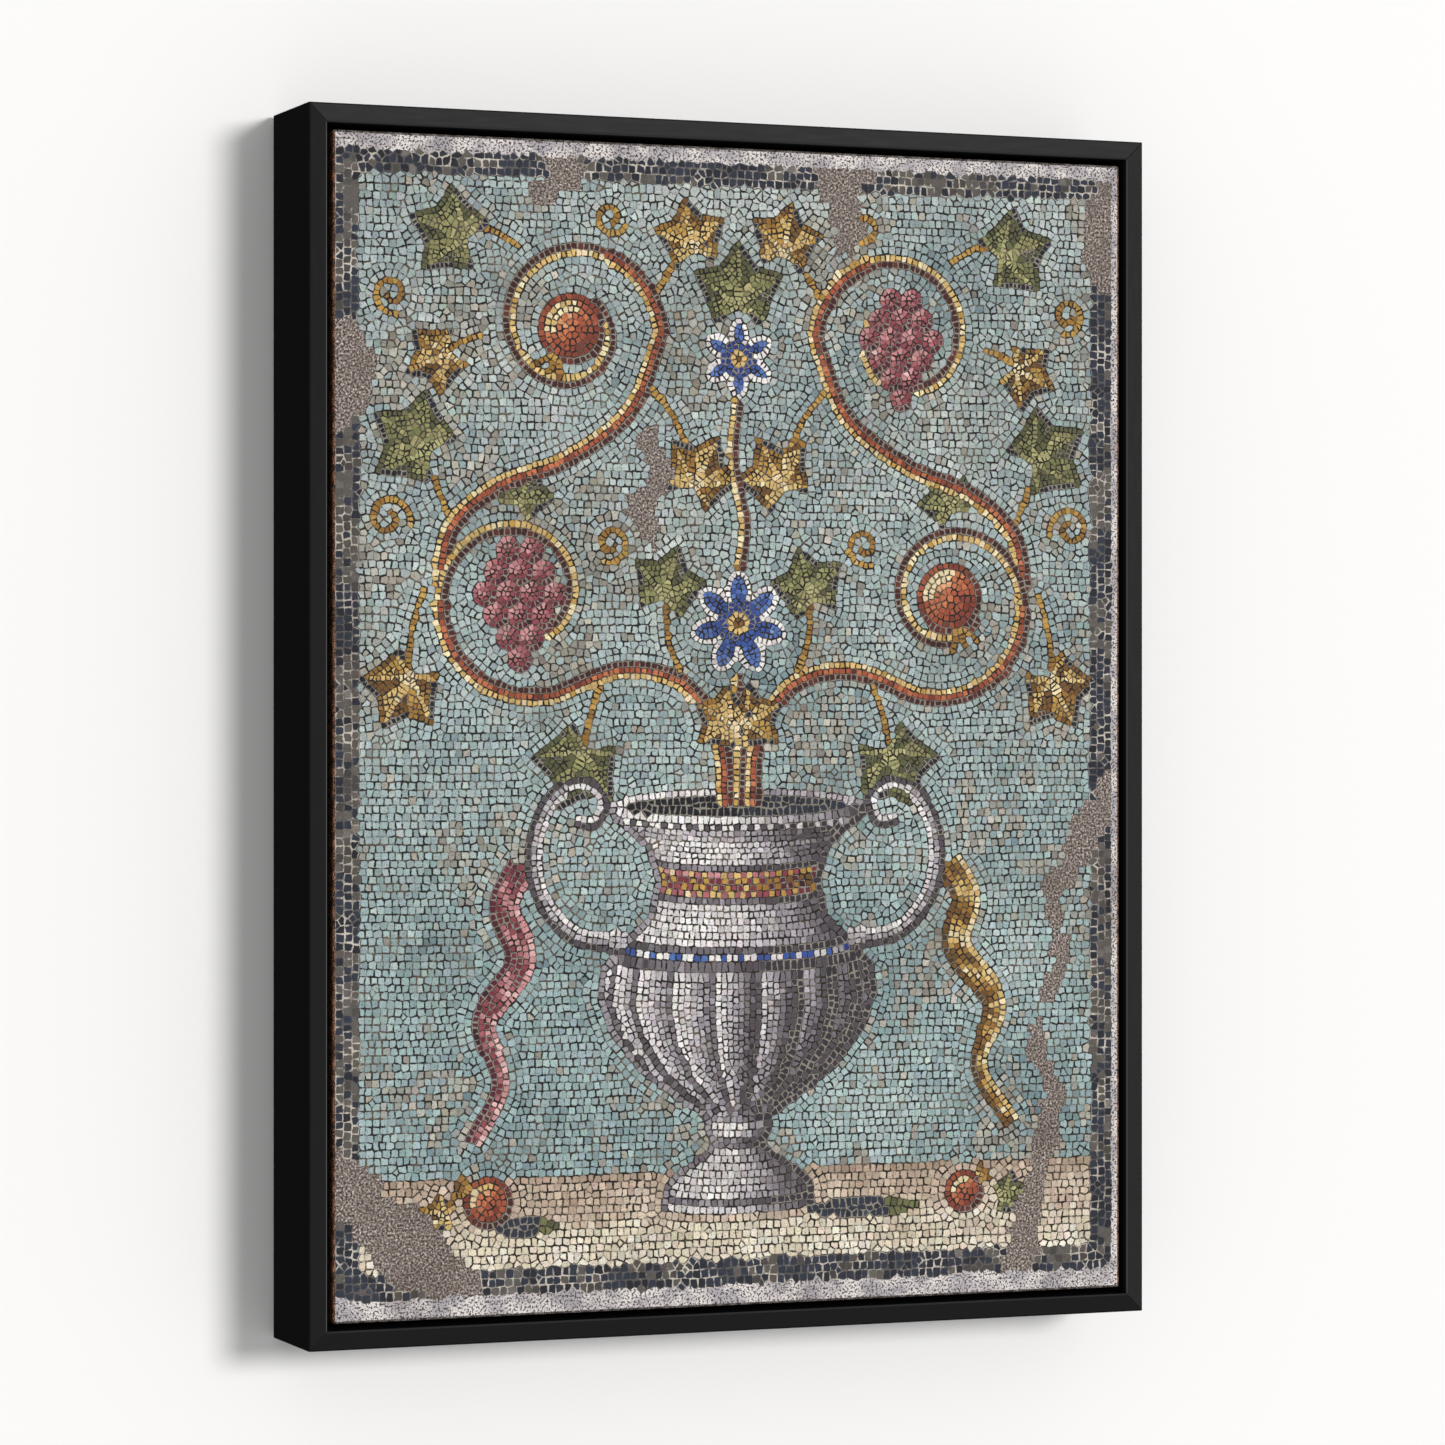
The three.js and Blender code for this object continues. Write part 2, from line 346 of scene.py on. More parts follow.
def closedLine(points):  # an outline that runs anticlockwise
    points = np.asarray(points, float)
    if not np.allclose(points[0], points[-1]):
        points = np.vstack([points, points[:1]])
    points = evenly(points)
    x, z = points.T
    turnsLeft = np.sum(x * np.roll(z, -1) - np.roll(x, -1) * z) > 0
    return points if turnsLeft else points[::-1]


def turned(points, angle, x, z, scale=1.0):
    cos, sin = math.cos(math.radians(angle)), math.sin(math.radians(angle))
    return np.asarray(points, float) * scale @ np.array([[cos, sin], [-sin, cos]]) + (x, z)


laying = {
    "length": (0.86, 1.14),  # least and most, as a share of the pitch in its row
    "width": (0.9, 1.06),
    "turn": 0.05,  # radians out of its row
    "shift": 0.05,  # off its place, as a share of its size, like the next three
    "clearance": 0.74,  # least way to the middle of another stone
    "shortest": 0.6,  # the least length of path that gets a row
    "crowding": 0.3,  # how much nearer to an outline than its depth a row inside it may run
    "bucket": 4.0,  # side of the squares that stones are looked up in, more than any clearance
}


def runs(path, kept):  # the stretches of a path whose points are kept
    found, start = [], None
    for i, keep in enumerate([*kept, False]):
        if keep and start is None:
            start = i
        elif not keep and start is not None:
            if i - start > 2:
                found.append(path[start:i])
            start = None
    return found


class MosaicBed:
    # Stones laid so far. What is laid first lies in front, because nothing is laid over it.
    def __init__(self):
        self.rows = []
        self.buckets = defaultdict(list)
        self.covered = np.zeros((int(2 * halfWidth) + 2, int(2 * halfHeight) + 2), bool)  # in squares of 1 mm

    def add(self, x, z, angle, length, width, colour, kind):
        self.buckets[self.bucketOf(x, z)].append((x, z))
        self.rows.append((x, z, angle, length, width, *colour, kind))

    def bucketOf(self, x, z):
        return int(x // laying["bucket"]), int(z // laying["bucket"])

    def isFree(self, x, z, reach):
        column, row = self.bucketOf(x, z)
        near = ((i, j) for i in (column - 1, column, column + 1) for j in (row - 1, row, row + 1))
        return not any((a - x) ** 2 + (b - z) ** 2 < reach * reach
                       for place in near for a, b in self.buckets.get(place, ()))

    def isInside(self, x, z):
        return abs(x) < halfWidth and abs(z) < halfHeight

    def squareOf(self, x, z):
        return int(x + halfWidth), int(z + halfHeight)

    def isCovered(self, x, z):
        return self.isInside(x, z) and self.covered[self.squareOf(x, z)]

    def cover(self, outline):
        # a square lies inside when the line from it to the right crosses the outline an odd number of times
        low = np.maximum(outline.min(axis=0), (-halfWidth, -halfHeight))
        high = np.minimum(outline.max(axis=0), (halfWidth, halfHeight))
        if (high <= low).any():
            return
        (i0, j0), (i1, j1) = self.squareOf(*low), self.squareOf(*high)
        x = np.arange(i0, i1 + 1) + 0.5 - halfWidth
        z = np.arange(j0, j1 + 1) + 0.5 - halfHeight
        x, z = np.meshgrid(x, z, indexing="ij")
        inside = np.zeros(x.shape, bool)
        coarse = outline[:: max(1, int(1 / pathStep))]
        for (ax, az), (bx, bz) in zip(coarse, np.roll(coarse, -1, axis=0)):
            if az == bz:
                continue
            crosses = (az > z) != (bz > z)
            inside ^= crosses & (x < (bx - ax) * (z - az) / (bz - az) + ax)
        self.covered[i0 : i1 + 1, j0 : j1 + 1] |= inside

    def lay(self, path, paint, size, closed=False, allowed=None, depth=0.0, kind=kinds["picture"],
            clearance=laying["clearance"]):
        # one row of stones along a path; paint gives a stone's colour from (x, z, depth, share of the path)
        along = travelled(path)
        total = along[-1]
        if total < size * laying["shortest"]:
            return
        pitch = total / max(1, round(total / size))
        at = 0.0 if closed else pitch / 2
        while at < total - (pitch / 2 if closed else 0.01):
            i = min(int(np.searchsorted(along, at)), len(path) - 2)
            x, z = path[i]
            length = pitch * random.uniform(*laying["length"])
            fits = self.isInside(x, z) and not self.isCovered(x, z)
            if fits and (allowed is None or allowed(x, z)) and self.isFree(x, z, size * clearance):
                ahead = path[i + 1] - path[i]
                angle = math.atan2(ahead[1], ahead[0]) + random.normal(0, laying["turn"])
                x = x + random.normal(0, laying["shift"]) * size
                z = z + random.normal(0, laying["shift"]) * size
                width = size * random.uniform(*laying["width"])
                self.add(x, z, angle, length, width, paint(x, z, depth, at / total), kind)
                at += length
            else:
                at += pitch / 4

    def fill(self, outline, paint, size):  # rows inside an outline that follow it, from its rim inwards
        outline = closedLine(outline)
        tree = kdtree.KDTree(len(outline))
        for i, (x, z) in enumerate(outline):
            tree.insert((x, z, 0), i)
        tree.balance()
        for row in count():
            depth = (row + 0.5) * size
            inner = shifted(outline, depth, closed=True)
            far = [tree.find((x, z, 0))[2] >= depth - laying["crowding"] * size for x, z in inner]
            for run in runs(inner, far):
                self.lay(run, paint, size, depth=depth, closed=len(run) == len(inner))
            if not any(far):
                break
        self.cover(outline)

    def halo(self, outline, rows, paint, size, allowed):  # rows outside an outline that follow it
        outline = closedLine(outline)
        for row in range(rows):
            loop = shifted(outline, -(row + 0.5) * size, closed=True)
            self.lay(loop, paint, size, closed=True, allowed=allowed)

    def band(self, path, half, paint, size):
        # rows side by side along a path; half gives half its width from the share of its length, and paint
        # gets where a stone lies across it, -1 left and 1 right
        halves = np.array([half(s) for s in np.linspace(0, 1, len(path))])
        lanes = np.maximum(1, np.round(2 * halves / size)).astype(int)
        for most in sorted(set(lanes.tolist()), reverse=True):
            for place in sorted((j - (most - 1) / 2 for j in range(most)), key=lambda place: -abs(place)):
                lane = shifted(path, -place * size)
                across = 2 * place / max(1, most - 1)
                for run in runs(lane, lanes == most):
                    self.lay(run, lambda x, z, d, s: paint(x, z, across, s), size)
        outline = closedLine(np.vstack([shifted(path, halves), shifted(path, -halves)[::-1]]))
        self.cover(outline)
        return outline


print("mosaic bed ready")


# Motifs: a stone krater with a fruiting vine, on a blue-green field inside a dark border

def wander(x, z, scale, seed=0.0):  # smooth noise about 0, its patches about scale millimetres wide
    return noise.noise(Vector((x / scale, z / scale, seed)))


def away(x, z, centre):  # 0 on the side that faces the light, upper left, and 1 on the far side
    out = np.array([x, z]) - centre
    return 0.5 + 0.5 * float(out @ picture["shadeWay"]) / max(float(np.hypot(*out)), 1e-6)


def layGrape(bed, x, z, radius):
    def paint(px, pz, depth, share):
        rim = min(1.0, float(np.hypot(px - x, pz - z)) / radius)
        tone = away(px, pz, (x, z)) * rim**1.2 + 0.16 * (1 - rim)
        return stone("wine", 0.1 + tone)

    outline = ring(x, z, radius)
    bed.fill(outline, paint, 2.5)
    return [outline]


def layBunch(bed, x, z, scale):
    radius = 6.1 * scale
    outlines = []
    for row, many in enumerate([2, 3, 4, 3, 2, 1]):
        for i in range(many):
            across = (i - (many - 1) / 2) * radius * 2.02
            outlines += layGrape(bed, x + across, z - row * radius * 1.75, radius)
    return outlines


def layPomegranate(bed, x, z, radius, lean):
    for side in (-1, 0, 1):  # the three teeth of its crown
        tooth = [(side * radius * 0.1, radius * 0.9), (side * radius * 0.42, radius * 1.45)]
        bed.lay(evenly(turned(tooth, lean, x, z)), lambda px, pz, d, s: stone("ochre", 0.35 + 0.4 * s), 2.6)

    def paint(px, pz, depth, share):
        tone = away(px, pz, (x, z))
        if depth < 3:
            return stone("rust", 0.45 + 0.55 * tone)
        if tone < 0.22 and depth < radius * 0.6:
            return stone("ochre", 0.05)
        return stone("rust", 0.12 + 0.6 * tone * (1 - depth / radius / 1.4))

    outline = ring(x, z, radius)
    bed.fill(outline, paint, 3.0)
    return [outline]


def layFlower(bed, x, z, reach, petals):
    bed.fill(ring(x, z, reach * 0.22), lambda px, pz, d, s: stone("ochre", 0.2 if d < 3 else 0.8), 2.6)

    def paint(px, pz, depth, share):
        out = math.hypot(px - x, pz - z) / reach
        if depth < 2.6:
            return stone("marble", 0.05) if out > 0.45 else stone("cobalt", 0.9)
        return stone("cobalt", 1.0 - 0.85 * out)

    outlines = []
    for i in range(petals):
        turn = math.radians(90 + 360 * i / petals)
        cx, cz = x + reach * 0.62 * math.cos(turn), z + reach * 0.62 * math.sin(turn)
        petal = turned(ring(0, 0, reach * 0.4, 0.66), math.degrees(turn), cx, cz)
        bed.fill(petal, paint, 2.5)
        outlines.append(petal)
    return outlines


leaf = {
    # half its edge: degrees from the middle lobe's tip and share of the reach
    "edge": [(0, 1.0), (14, 0.86), (26, 0.74), (33, 0.60), (41, 0.78), (58, 0.92), (74, 0.80), (86, 0.68),
             (93, 0.54), (102, 0.64), (122, 0.70), (142, 0.54), (162, 0.32), (180, 0.10)],
    "ribs": [(0, 0.82), (62, 0.70), (-62, 0.70), (122, 0.50), (-122, 0.50)],
}


def layLeaf(bed, x, z, reach, lean, name):
    # a vine leaf of five lobes about its own base, the middle one along lean, each lobe folded at its rib
    half = [(r * math.cos(math.radians(a)), r * math.sin(math.radians(a))) for a, r in leaf["edge"]]
    edge = half + [(px, -pz) for px, pz in half[-2:0:-1]]
    outline = turned(curve(edge, closed=True), lean, x, z, reach)
    for rib, tip in leaf["ribs"]:
        line = [(-0.08, 0), (tip * math.cos(math.radians(rib)), tip * math.sin(math.radians(rib)))]
        line = evenly(turned(line, lean, x, z, reach))
        bed.lay(line, lambda px, pz, d, s: stone(name, 0.02 + 0.3 * s), 2.2)

    def paint(px, pz, depth, share):
        angle = (math.degrees(math.atan2(pz - z, px - x)) - lean + 180) % 360 - 180
        rib = min((r for r, _ in leaf["ribs"]), key=lambda r: abs(r - angle))
        heading = math.radians(lean + rib)
        # the half of a lobe that faces the upper left is the light one
        right, up = picture["shadeWay"]
        shade = 0.5 - 0.5 * (1 if angle > rib else -1) * (right * math.sin(heading) - up * math.cos(heading))
        out = math.hypot(px - x, pz - z) / reach
        if depth < 2.3:
            return stone("navy", 0.9) if shade > 0.5 else stone(name, 0.7)
        return stone(name, 0.18 + 0.68 * shade + 0.12 * (out - 0.4))

    bed.fill(outline, paint, 2.4)
    return [outline]


def layStem(bed, path, thick, thin):
    def paint(x, z, across, share):
        knot = 0.25 * (math.sin(share * 60) > 0.9)
        if across > 0.6:
            return stone("rust", 0.95)
        if across < -0.6:
            return stone("ochre", 0.12 + knot)
        return stone("rust", 0.32 + 0.35 * max(0, across) + knot)

    return [bed.band(path, lambda share: thick + (thin - thick) * share, paint, picture["plantStone"])]


def layTendril(bed, path):
    bed.lay(path, lambda x, z, d, s: stone("ochre", 0.35 + 0.3 * s), picture["fineStone"])
    half = picture["fineStone"] / 2
    outline = closedLine(np.vstack([shifted(path, half), shifted(path, -half)[::-1]]))
    bed.cover(outline)
    return [outline]


def layRibbon(bed, path, name):
    def half(share):
        return 8.0 * (0.55 + 0.45 * math.sin(math.pi * min(1, 0.25 + share)))

    def paint(x, z, across, share):
        if abs(across) > 0.8:
            return stone(name, 0.86 if across > 0 else 0.1)
        fold = 0.5 + 0.5 * math.sin(share * 21 + across * 1.6)
        return stone(name, 0.12 + 0.62 * fold)

    return [bed.band(path, half, paint, 3.0)]


def layShadow(bed, x, z, reach):  # on the ground; no rows of stones follow its outline
    bed.fill(ring(x, z, reach, 4.6 / reach),
             lambda px, pz, d, s: stone("navy" if px < x + reach * 0.4 else "olive", 0.55), 3.3)
    return []


krater = {
    # height and radius, from the rim down to the foot
    "profile": [(-38, 66), (-43, 67), (-48, 60), (-58, 48), (-74, 43), (-92, 47), (-104, 60), (-116, 71),
                (-130, 73), (-148, 66), (-166, 51), (-180, 31), (-189, 17), (-195, 18), (-201, 13),
                (-208, 20), (-216, 34), (-222, 39), (-232, 40)],
    "sag": 6.5,  # how far the middle of its rim hangs below the rim's ends
    "ribs": 9,
    # down to each height, either plain marble, darker by a share, or two stones in turn, with their tones,
    # that many to a row
    "neck": [(-41.2, -0.1), (-44.4, ("marble", 0.0), ("marble", 0.7), 34), (-50.8, 0.22), (-63, 0.0),
             (-66.2, 0.5), (-69.4, ("wine", 0.2), ("ochre", 0.1), 30),
             (-75.8, ("wine", 0.55), ("ochre", 0.35), 30), (-79, ("ochre", 0.1), ("wine", 0.3), 30),
             (-82.2, 0.5), (-101.4, 0.0), (-104.6, 0.6), (-107.8, ("marble", 0.0), ("cobalt", 0.5), 52),
             (-111, 0.6)],
    "bowl": (-112, -184),
    "foot": [(-190, 0.35), (-198, 0.0), (-203, 0.45), (-225, 0.05), (-228.4, 0.5), (-232, 0.1)],
    "handle": [(58, -104), (84, -100), (101, -82), (105, -58), (97, -36), (82, -27), (70, -34), (74, -46),
               (84, -45)],
}


def kraterRadius(z):
    heights, radii = zip(*reversed(krater["profile"]))
    return np.interp(z, heights, radii)


def sagOf(radius):
    return krater["sag"] * radius / krater["profile"][0][1]


def kraterRing(z, inset=0.0):  # the near half of the circle at height z
    turn = np.linspace(-math.pi / 2, math.pi / 2, 90)
    radius = float(kraterRadius(z)) - inset
    return evenly(np.column_stack([radius * np.sin(turn), z - sagOf(radius) * np.cos(turn)]))


def kraterSide(side, low, high, inset=0.0):
    z = np.linspace(high, low, 120)
    return evenly(np.column_stack([side * (kraterRadius(z) - inset), z]))


def roundTone(x, z):  # light from the upper left on a round body
    share = np.clip(x / max(float(kraterRadius(z)), 1), -1, 1)
    return 0.06 + 0.62 * max(0.0, share + 0.25) ** 1.3 + 0.34 * max(0.0, -share - 0.55) ** 1.1


def layCourses(bed, high, courses):
    size = picture["kraterStone"]

    def paintPlain(extra):
        return lambda x, z, d, s: stone("marble", min(1, roundTone(x, z) + extra))

    def paintBeads(first, second, period):
        def paint(x, z, d, s):
            name, tone = first if int(s * period) % 2 else second
            return stone(name, min(1.0, tone + 0.5 * roundTone(x, z)))
        return paint

    for low, *look in courses:
        paint = (paintPlain if len(look) == 1 else paintBeads)(*look)
        rows = max(1, round((high - low) / size))
        for i in range(rows):
            bed.lay(kraterRing(high - (i + 0.5) * (high - low) / rows, size), paint, size)
        high = low


def layRibs(bed, high, low):  # upright ribs, each lit on its left and dark in the groove on its right
    size = picture["kraterStone"]
    turns = np.linspace(-90, 90, krater["ribs"] + 1)
    widest = kraterRadius(np.linspace(high, low, 50)).max()
    heights = np.linspace(high - 2, low, 90)
    for start, end in zip(np.sin(np.radians(turns)), np.sin(np.radians(turns[1:]))):
        lanes = max(2, round((end - start) * widest / size))
        for j in reversed(range(lanes)):
            share = start + (end - start) * (j + 0.5) / lanes
            radius = kraterRadius(heights) - size
            drop = sagOf(radius) * math.sqrt(max(0, 1 - share * share))
            path = evenly(np.column_stack([share * radius, heights - drop]))
            groove = 0.55 if j == lanes - 1 else 0.1 * j - 0.05

            def paint(x, z, d, s, groove=groove):
                return stone("marble", min(1, roundTone(x, z) + groove + 0.12 * s))

            bed.lay(path, paint, size)


def layKrater(bed):
    size = picture["kraterStone"]
    top, foot = krater["profile"][0][0], krater["profile"][-1][0]
    for side, tone in ((-1, 0.55), (1, 0.95)):
        edge = kraterSide(side, foot, top, size / 2)
        bed.lay(edge, lambda x, z, d, s, tone=tone: stone("marble", tone), size)
    layCourses(bed, top, krater["neck"])
    layRibs(bed, *krater["bowl"])
    layCourses(bed, krater["bowl"][1], krater["foot"])
    outline = closedLine(np.vstack([kraterSide(1, foot, top), kraterRing(foot)[::-1],
                                    kraterSide(-1, foot, top)[::-1], kraterRing(top)]))
    bed.cover(outline)
    return [outline]


def layHandle(bed, side):
    def paint(x, z, across, share):
        lit = across * side
        return stone("marble", 0.9 if lit > 0.4 else 0.12 if lit < -0.4 else 0.4)

    return [bed.band(curve(krater["handle"]) * (side, 1), lambda s: 5.2 - 2.2 * s, paint, 2.9)]


def layMouth(bed):  # the far rim and the dark inside
    size, sag = picture["kraterStone"], krater["sag"]
    top, radius = krater["profile"][0]
    turn = np.linspace(0, math.pi, 120)
    far = evenly(np.column_stack([(radius - 1.5) * np.cos(turn), top + sag * np.sin(turn)]))
    bed.lay(far, lambda x, z, d, s: stone("marble", 0.1 + 0.3 * (x > 0)), size)
    outline = closedLine(np.column_stack([radius * np.cos(2 * turn), top + (sag + 1.6) * np.sin(2 * turn)]))
    bed.fill(outline, lambda x, z, d, s: stone("navy", 0.6 + 0.4 * (x < 0)), size)
    return [outline]


scrolls = {
    # the right half of the vine, which the left half mirrors
    "thick": 4.6,
    "thin": 2.9,
    # points of a stem, then the spiral that it ends in
    "stems": [([(7, -38), (10, -8), (28, 20), (60, 27), (94.9, 15)], (112, 62, 50, 16, -110, 1.22)),
              ([(151, 60), (151, 80), (144, 98), (122, 115), (88, 128), (56, 152), (40, 190)],
               (86, 190, 46, 15, 180, -1.2))],
    # x, z, reach, lean and stones
    "leaves": [(80, -14, 30, -62, "olive"), (168, 22, 27, -60, "ochre"), (160, 132, 30, 32, "olive"),
               (150, 176, 22, -25, "ochre"), (22, 118, 26, 118, "ochre"), (142, 232, 28, 20, "olive"),
               (38, 64, 25, 106, "olive"), (24, 232, 24, 80, "ochre"), (112, 108, 20, 118, "olive")],
    "twigs": [[(70, 22), (76, 6), (80, -12)], [(160, 66), (166, 46), (168, 24)],
              [(146, 96), (154, 114), (160, 130)], [(46, 164), (32, 146), (22, 120)],
              [(131, 186), (142, 182), (150, 177)], [(112, 228), (128, 236), (142, 233)],
              [(26, 18), (36, 40), (38, 62)], [(44, 206), (34, 222), (24, 232)]],
    # x, z, the outer and the inner radius, the first angle and the turns
    "curls": [(178, 98, 12, 2.5, 200, -1.3), (176, 204, 10, 2.5, 250, 1.3), (66, 88, 10, 2.5, 300, -1.3),
              (66, 244, 9, 2.5, 200, 1.2)],
}


def layScrolls(bed, side):
    mirror = np.array([side, 1.0])
    outlines = []
    for line, end in scrolls["stems"]:
        path = evenly(np.vstack([curve(line), spiral(*end)[2:]]) * mirror)
        outlines += layStem(bed, path, scrolls["thick"], scrolls["thin"])
    for x, z, reach, lean, name in scrolls["leaves"]:
        outlines += layLeaf(bed, side * x, z, reach, lean if side > 0 else 180 - lean, name)
    for twig in scrolls["twigs"]:
        outlines += layTendril(bed, curve(np.array(twig) * mirror))
    for curl in scrolls["curls"]:
        outlines += layTendril(bed, spiral(*curl) * mirror)
    return outlines


ribbons = [
    curve([(-111, -66), (-120, -86), (-112, -112), (-130, -140), (-122, -170), (-136, -198)]),
    curve([(111, -66), (121, -84), (116, -108), (136, -136), (128, -168), (146, -196)]),
]

motifs = [
    # in the order they are laid, so from the front to the back
    (layPomegranate, -128, -226, 12.5, 62),
    (layPomegranate, 120, -229, 10.5, -50),
    (layLeaf, 142, -232, 15, 12, "olive"),
    (layLeaf, -150, -231, 13, 166, "ochre"),
    (layHandle, -1),
    (layHandle, 1),
    (layKrater,),
    (layFlower, 0, 50, 25, 7),
    (layFlower, 0, 178, 19, 6),
    (layLeaf, 0, 206, 30, 90, "olive"),
    (layLeaf, -5, 2, 21, 152, "ochre"),
    (layLeaf, 5, 2, 21, 28, "ochre"),
    (layStem, curve([(0, -38), (1, -10), (-1, 12), (0, 26)]), 3.6, 3.2),
    (layStem, curve([(0, 74), (3, 98), (-3, 130), (0, 160)]), 3.2, 2.8),
    (layPomegranate, 112, 63, 17.5, 200),
    (layBunch, 86, 209, 0.92),
    (layScrolls, 1),
    (layBunch, -112, 84, 0.98),
    (layPomegranate, -86, 190, 17, 150),
    (layScrolls, -1),
    (layMouth,),
    (layRibbon, ribbons[0], "wine"),
    (layRibbon, ribbons[1], "ochre"),
    (layShadow, 66, -235, 30),
    (layShadow, -108, -238, 16),
]


def insetBox(inset, left=0.0, right=0.0, top=0.0, bottom=0.0):
    west, east = -halfWidth + left + inset, halfWidth - right - inset
    south, north = -halfHeight + bottom + inset, halfHeight - top - inset
    return evenly([(west, south), (east, south), (east, north), (west, north), (west, south)])


def zoneOf(x, z):  # 0 outside the dark border, 1 in it and 2 within
    border = picture["border"]
    depth = min(x + halfWidth - border["left"], halfWidth - border["right"] - x,
                z + halfHeight - border["bottom"], halfHeight - border["top"] - z)
    return 0 if depth < 0 else 1 if depth < picture["borderRows"] * picture["borderStone"] else 2


def isField(x, z):
    return zoneOf(x, z) == 2


def paintPlaster(x, z, depth, share):
    return np.array([190.0, 188.0, 192.0])


def paintBorder(x, z, depth, share):
    worn = wander(x, z, 34, 4.0) + 0.5 * wander(x, z, 7, 9.0)
    if random.random() < np.clip(0.3 + 2.2 * worn, 0.04, 0.75):
        return stone("worn", 0.6 + 0.6 * wander(x, z, 12))
    return stone("navy", 0.6)


def paintField(x, z, depth, share):
    dirty = wander(x, z, 46, 1.5) + 0.55 * wander(x, z, 13, 5.5)
    if random.random() < np.clip(2.0 * (dirty - 0.06), 0.03, 0.62):
        dirt = random.uniform(0.35, 0.9)
        return dirt * stone("dirt", 0.1 + 0.6 * random.random()) + (1 - dirt) * stone("teal", 0.5)
    tone = 0.52 + 0.5 * wander(x, z, 75, 3.0) + 0.3 * wander(x, z, 9, 7.0)
    low = min(1.0, max(0.0, 0.5 - z / 300))  # the field is a fresher teal low down
    return stone("teal", min(1.0, max(0.0, tone))) * (1 - 0.06 * low, 1 - 0.01 * low, 1)


def paintGround(x, z, depth, share):
    down = (picture["groundTop"] - z) / 44
    if down < 0.06:
        return stone("sand", 0.95)
    tone = 0.75 - 0.5 * down + 0.5 * wander(x, z, 20, 8.0)
    return stone("sand" if down < 0.55 else "cream", min(1.0, max(0.0, tone)))


def paintBehind(x, z, depth, share):
    return (paintGround if z < picture["groundTop"] else paintField)(x, z, depth, share)


def layBorder(bed):
    size = picture["borderStone"]
    for inset in picture["plasterRows"]:
        bed.lay(insetBox(inset), paintPlaster, size, closed=True, allowed=lambda x, z: zoneOf(x, z) == 0,
                kind=kinds["plaster"])
    for row in range(picture["borderRows"]):
        loop = insetBox((row + 0.5) * size, **picture["border"])
        sway = np.array([wander(x, z, 38, row * 0.3) for x, z in loop])
        bed.lay(shifted(loop, 0.9 * sway, closed=True), paintBorder, size, closed=True, kind=kinds["border"])


def layField(bed):
    size = picture["fieldStone"]
    base = -halfHeight + picture["border"]["bottom"] + picture["borderRows"] * picture["borderStone"]
    x = np.arange(-halfWidth, halfWidth, 1.0)
    for z in np.arange(base + size * 1.3, halfHeight, size):
        sway = 1.1 * np.array([wander(a, z, 70, 0.7) for a in x])
        line = np.column_stack([x, z + (0.2 if z < picture["groundTop"] else 1.0) * sway])
        bed.lay(line, paintBehind, size, allowed=isField, clearance=0.76)


def layRest(bed):  # what is still bare gets a stone wherever one fits
    size = picture["fieldStone"] * 0.8
    zones = [(paintPlaster, "plaster"), (paintBorder, "border"), (paintBehind, "picture")]
    for x, z in random.uniform((-halfWidth, -halfHeight), (halfWidth, halfHeight), (picture["restTries"], 2)):
        if bed.isFree(x, z, picture["fieldStone"] * 0.7) and not bed.isCovered(x, z):
            paint, kind = zones[zoneOf(x, z)]
            bed.add(x, z, random.uniform(0, 1.5), size, size, paint(x, z, 0, 0), kinds[kind])


def layPicture():
    bed = MosaicBed()
    layBorder(bed)
    outlines = []
    for layMotif, *values in motifs:
        outlines += layMotif(bed, *values)
    for outline in outlines:
        bed.halo(outline, picture["haloRows"], paintBehind, picture["fieldStone"], isField)
    layField(bed)
    layRest(bed)
    print(len(bed.rows), "stones laid")
    return np.array(bed.rows, float)


# Mortar shows wherever stones are lost: lines of points, each with its half width

losses = [
    [(62, 281, 15), (54, 262, 12), (60, 246, 7), (52, 232, 3)],
    [(207, -30, 11), (186, -52, 8), (168, -84, 5), (172, -118, 4), (158, -150, 3.5), (168, -184, 6),
     (160, -222, 5), (150, -262, 9), (146, -282, 12)],
    [(-207, -206, 10), (-188, -226, 13), (-166, -248, 17), (-140, -268, 10), (-122, -281, 6)],
    [(-206, 146, 9), (-196, 162, 12), (-200, 184, 8)],
    [(-96, 281, 5), (-88, 262, 8), (-104, 252, 4)],
    [(204, 214, 4), (192, 236, 10), (202, 262, 12)],
    [(-48, 140, 4), (-40, 122, 6), (-52, 104, 5), (-44, 88, 3)],
]


def isLost(x, z):
    ragged = 5.0 * wander(x, z, 12, 11.0) + 2.4 * wander(x, z, 4.5, 12.0)
    for line in losses:
        for (ax, az, aw), (bx, bz, bw) in zip(line, line[1:]):
            long = (bx - ax) ** 2 + (bz - az) ** 2
            share = min(1.0, max(0.0, ((x - ax) * (bx - ax) + (z - az) * (bz - az)) / long))
            gap = math.hypot(x - ax - share * (bx - ax), z - az - share * (bz - az))
            if gap < aw + (bw - aw) * share + ragged:
                return True
    return False


cutting = {
    "least": 0.001,  # twice the area of the smallest face that is made
    "quarter": 0.27,  # how far from a stone's middle its four points lie, as a share of its sides
    "margin": 0.3,  # least room from a point to the picture's edge
    "mirrored": 9.0,  # how deep a strip along each edge is mirrored outwards
}
pictureEdges = [(0, -1, -1), (0, 1, -2), (1, -1, -3), (1, 1, -4)]  # axis, sign, and its mirror images' label


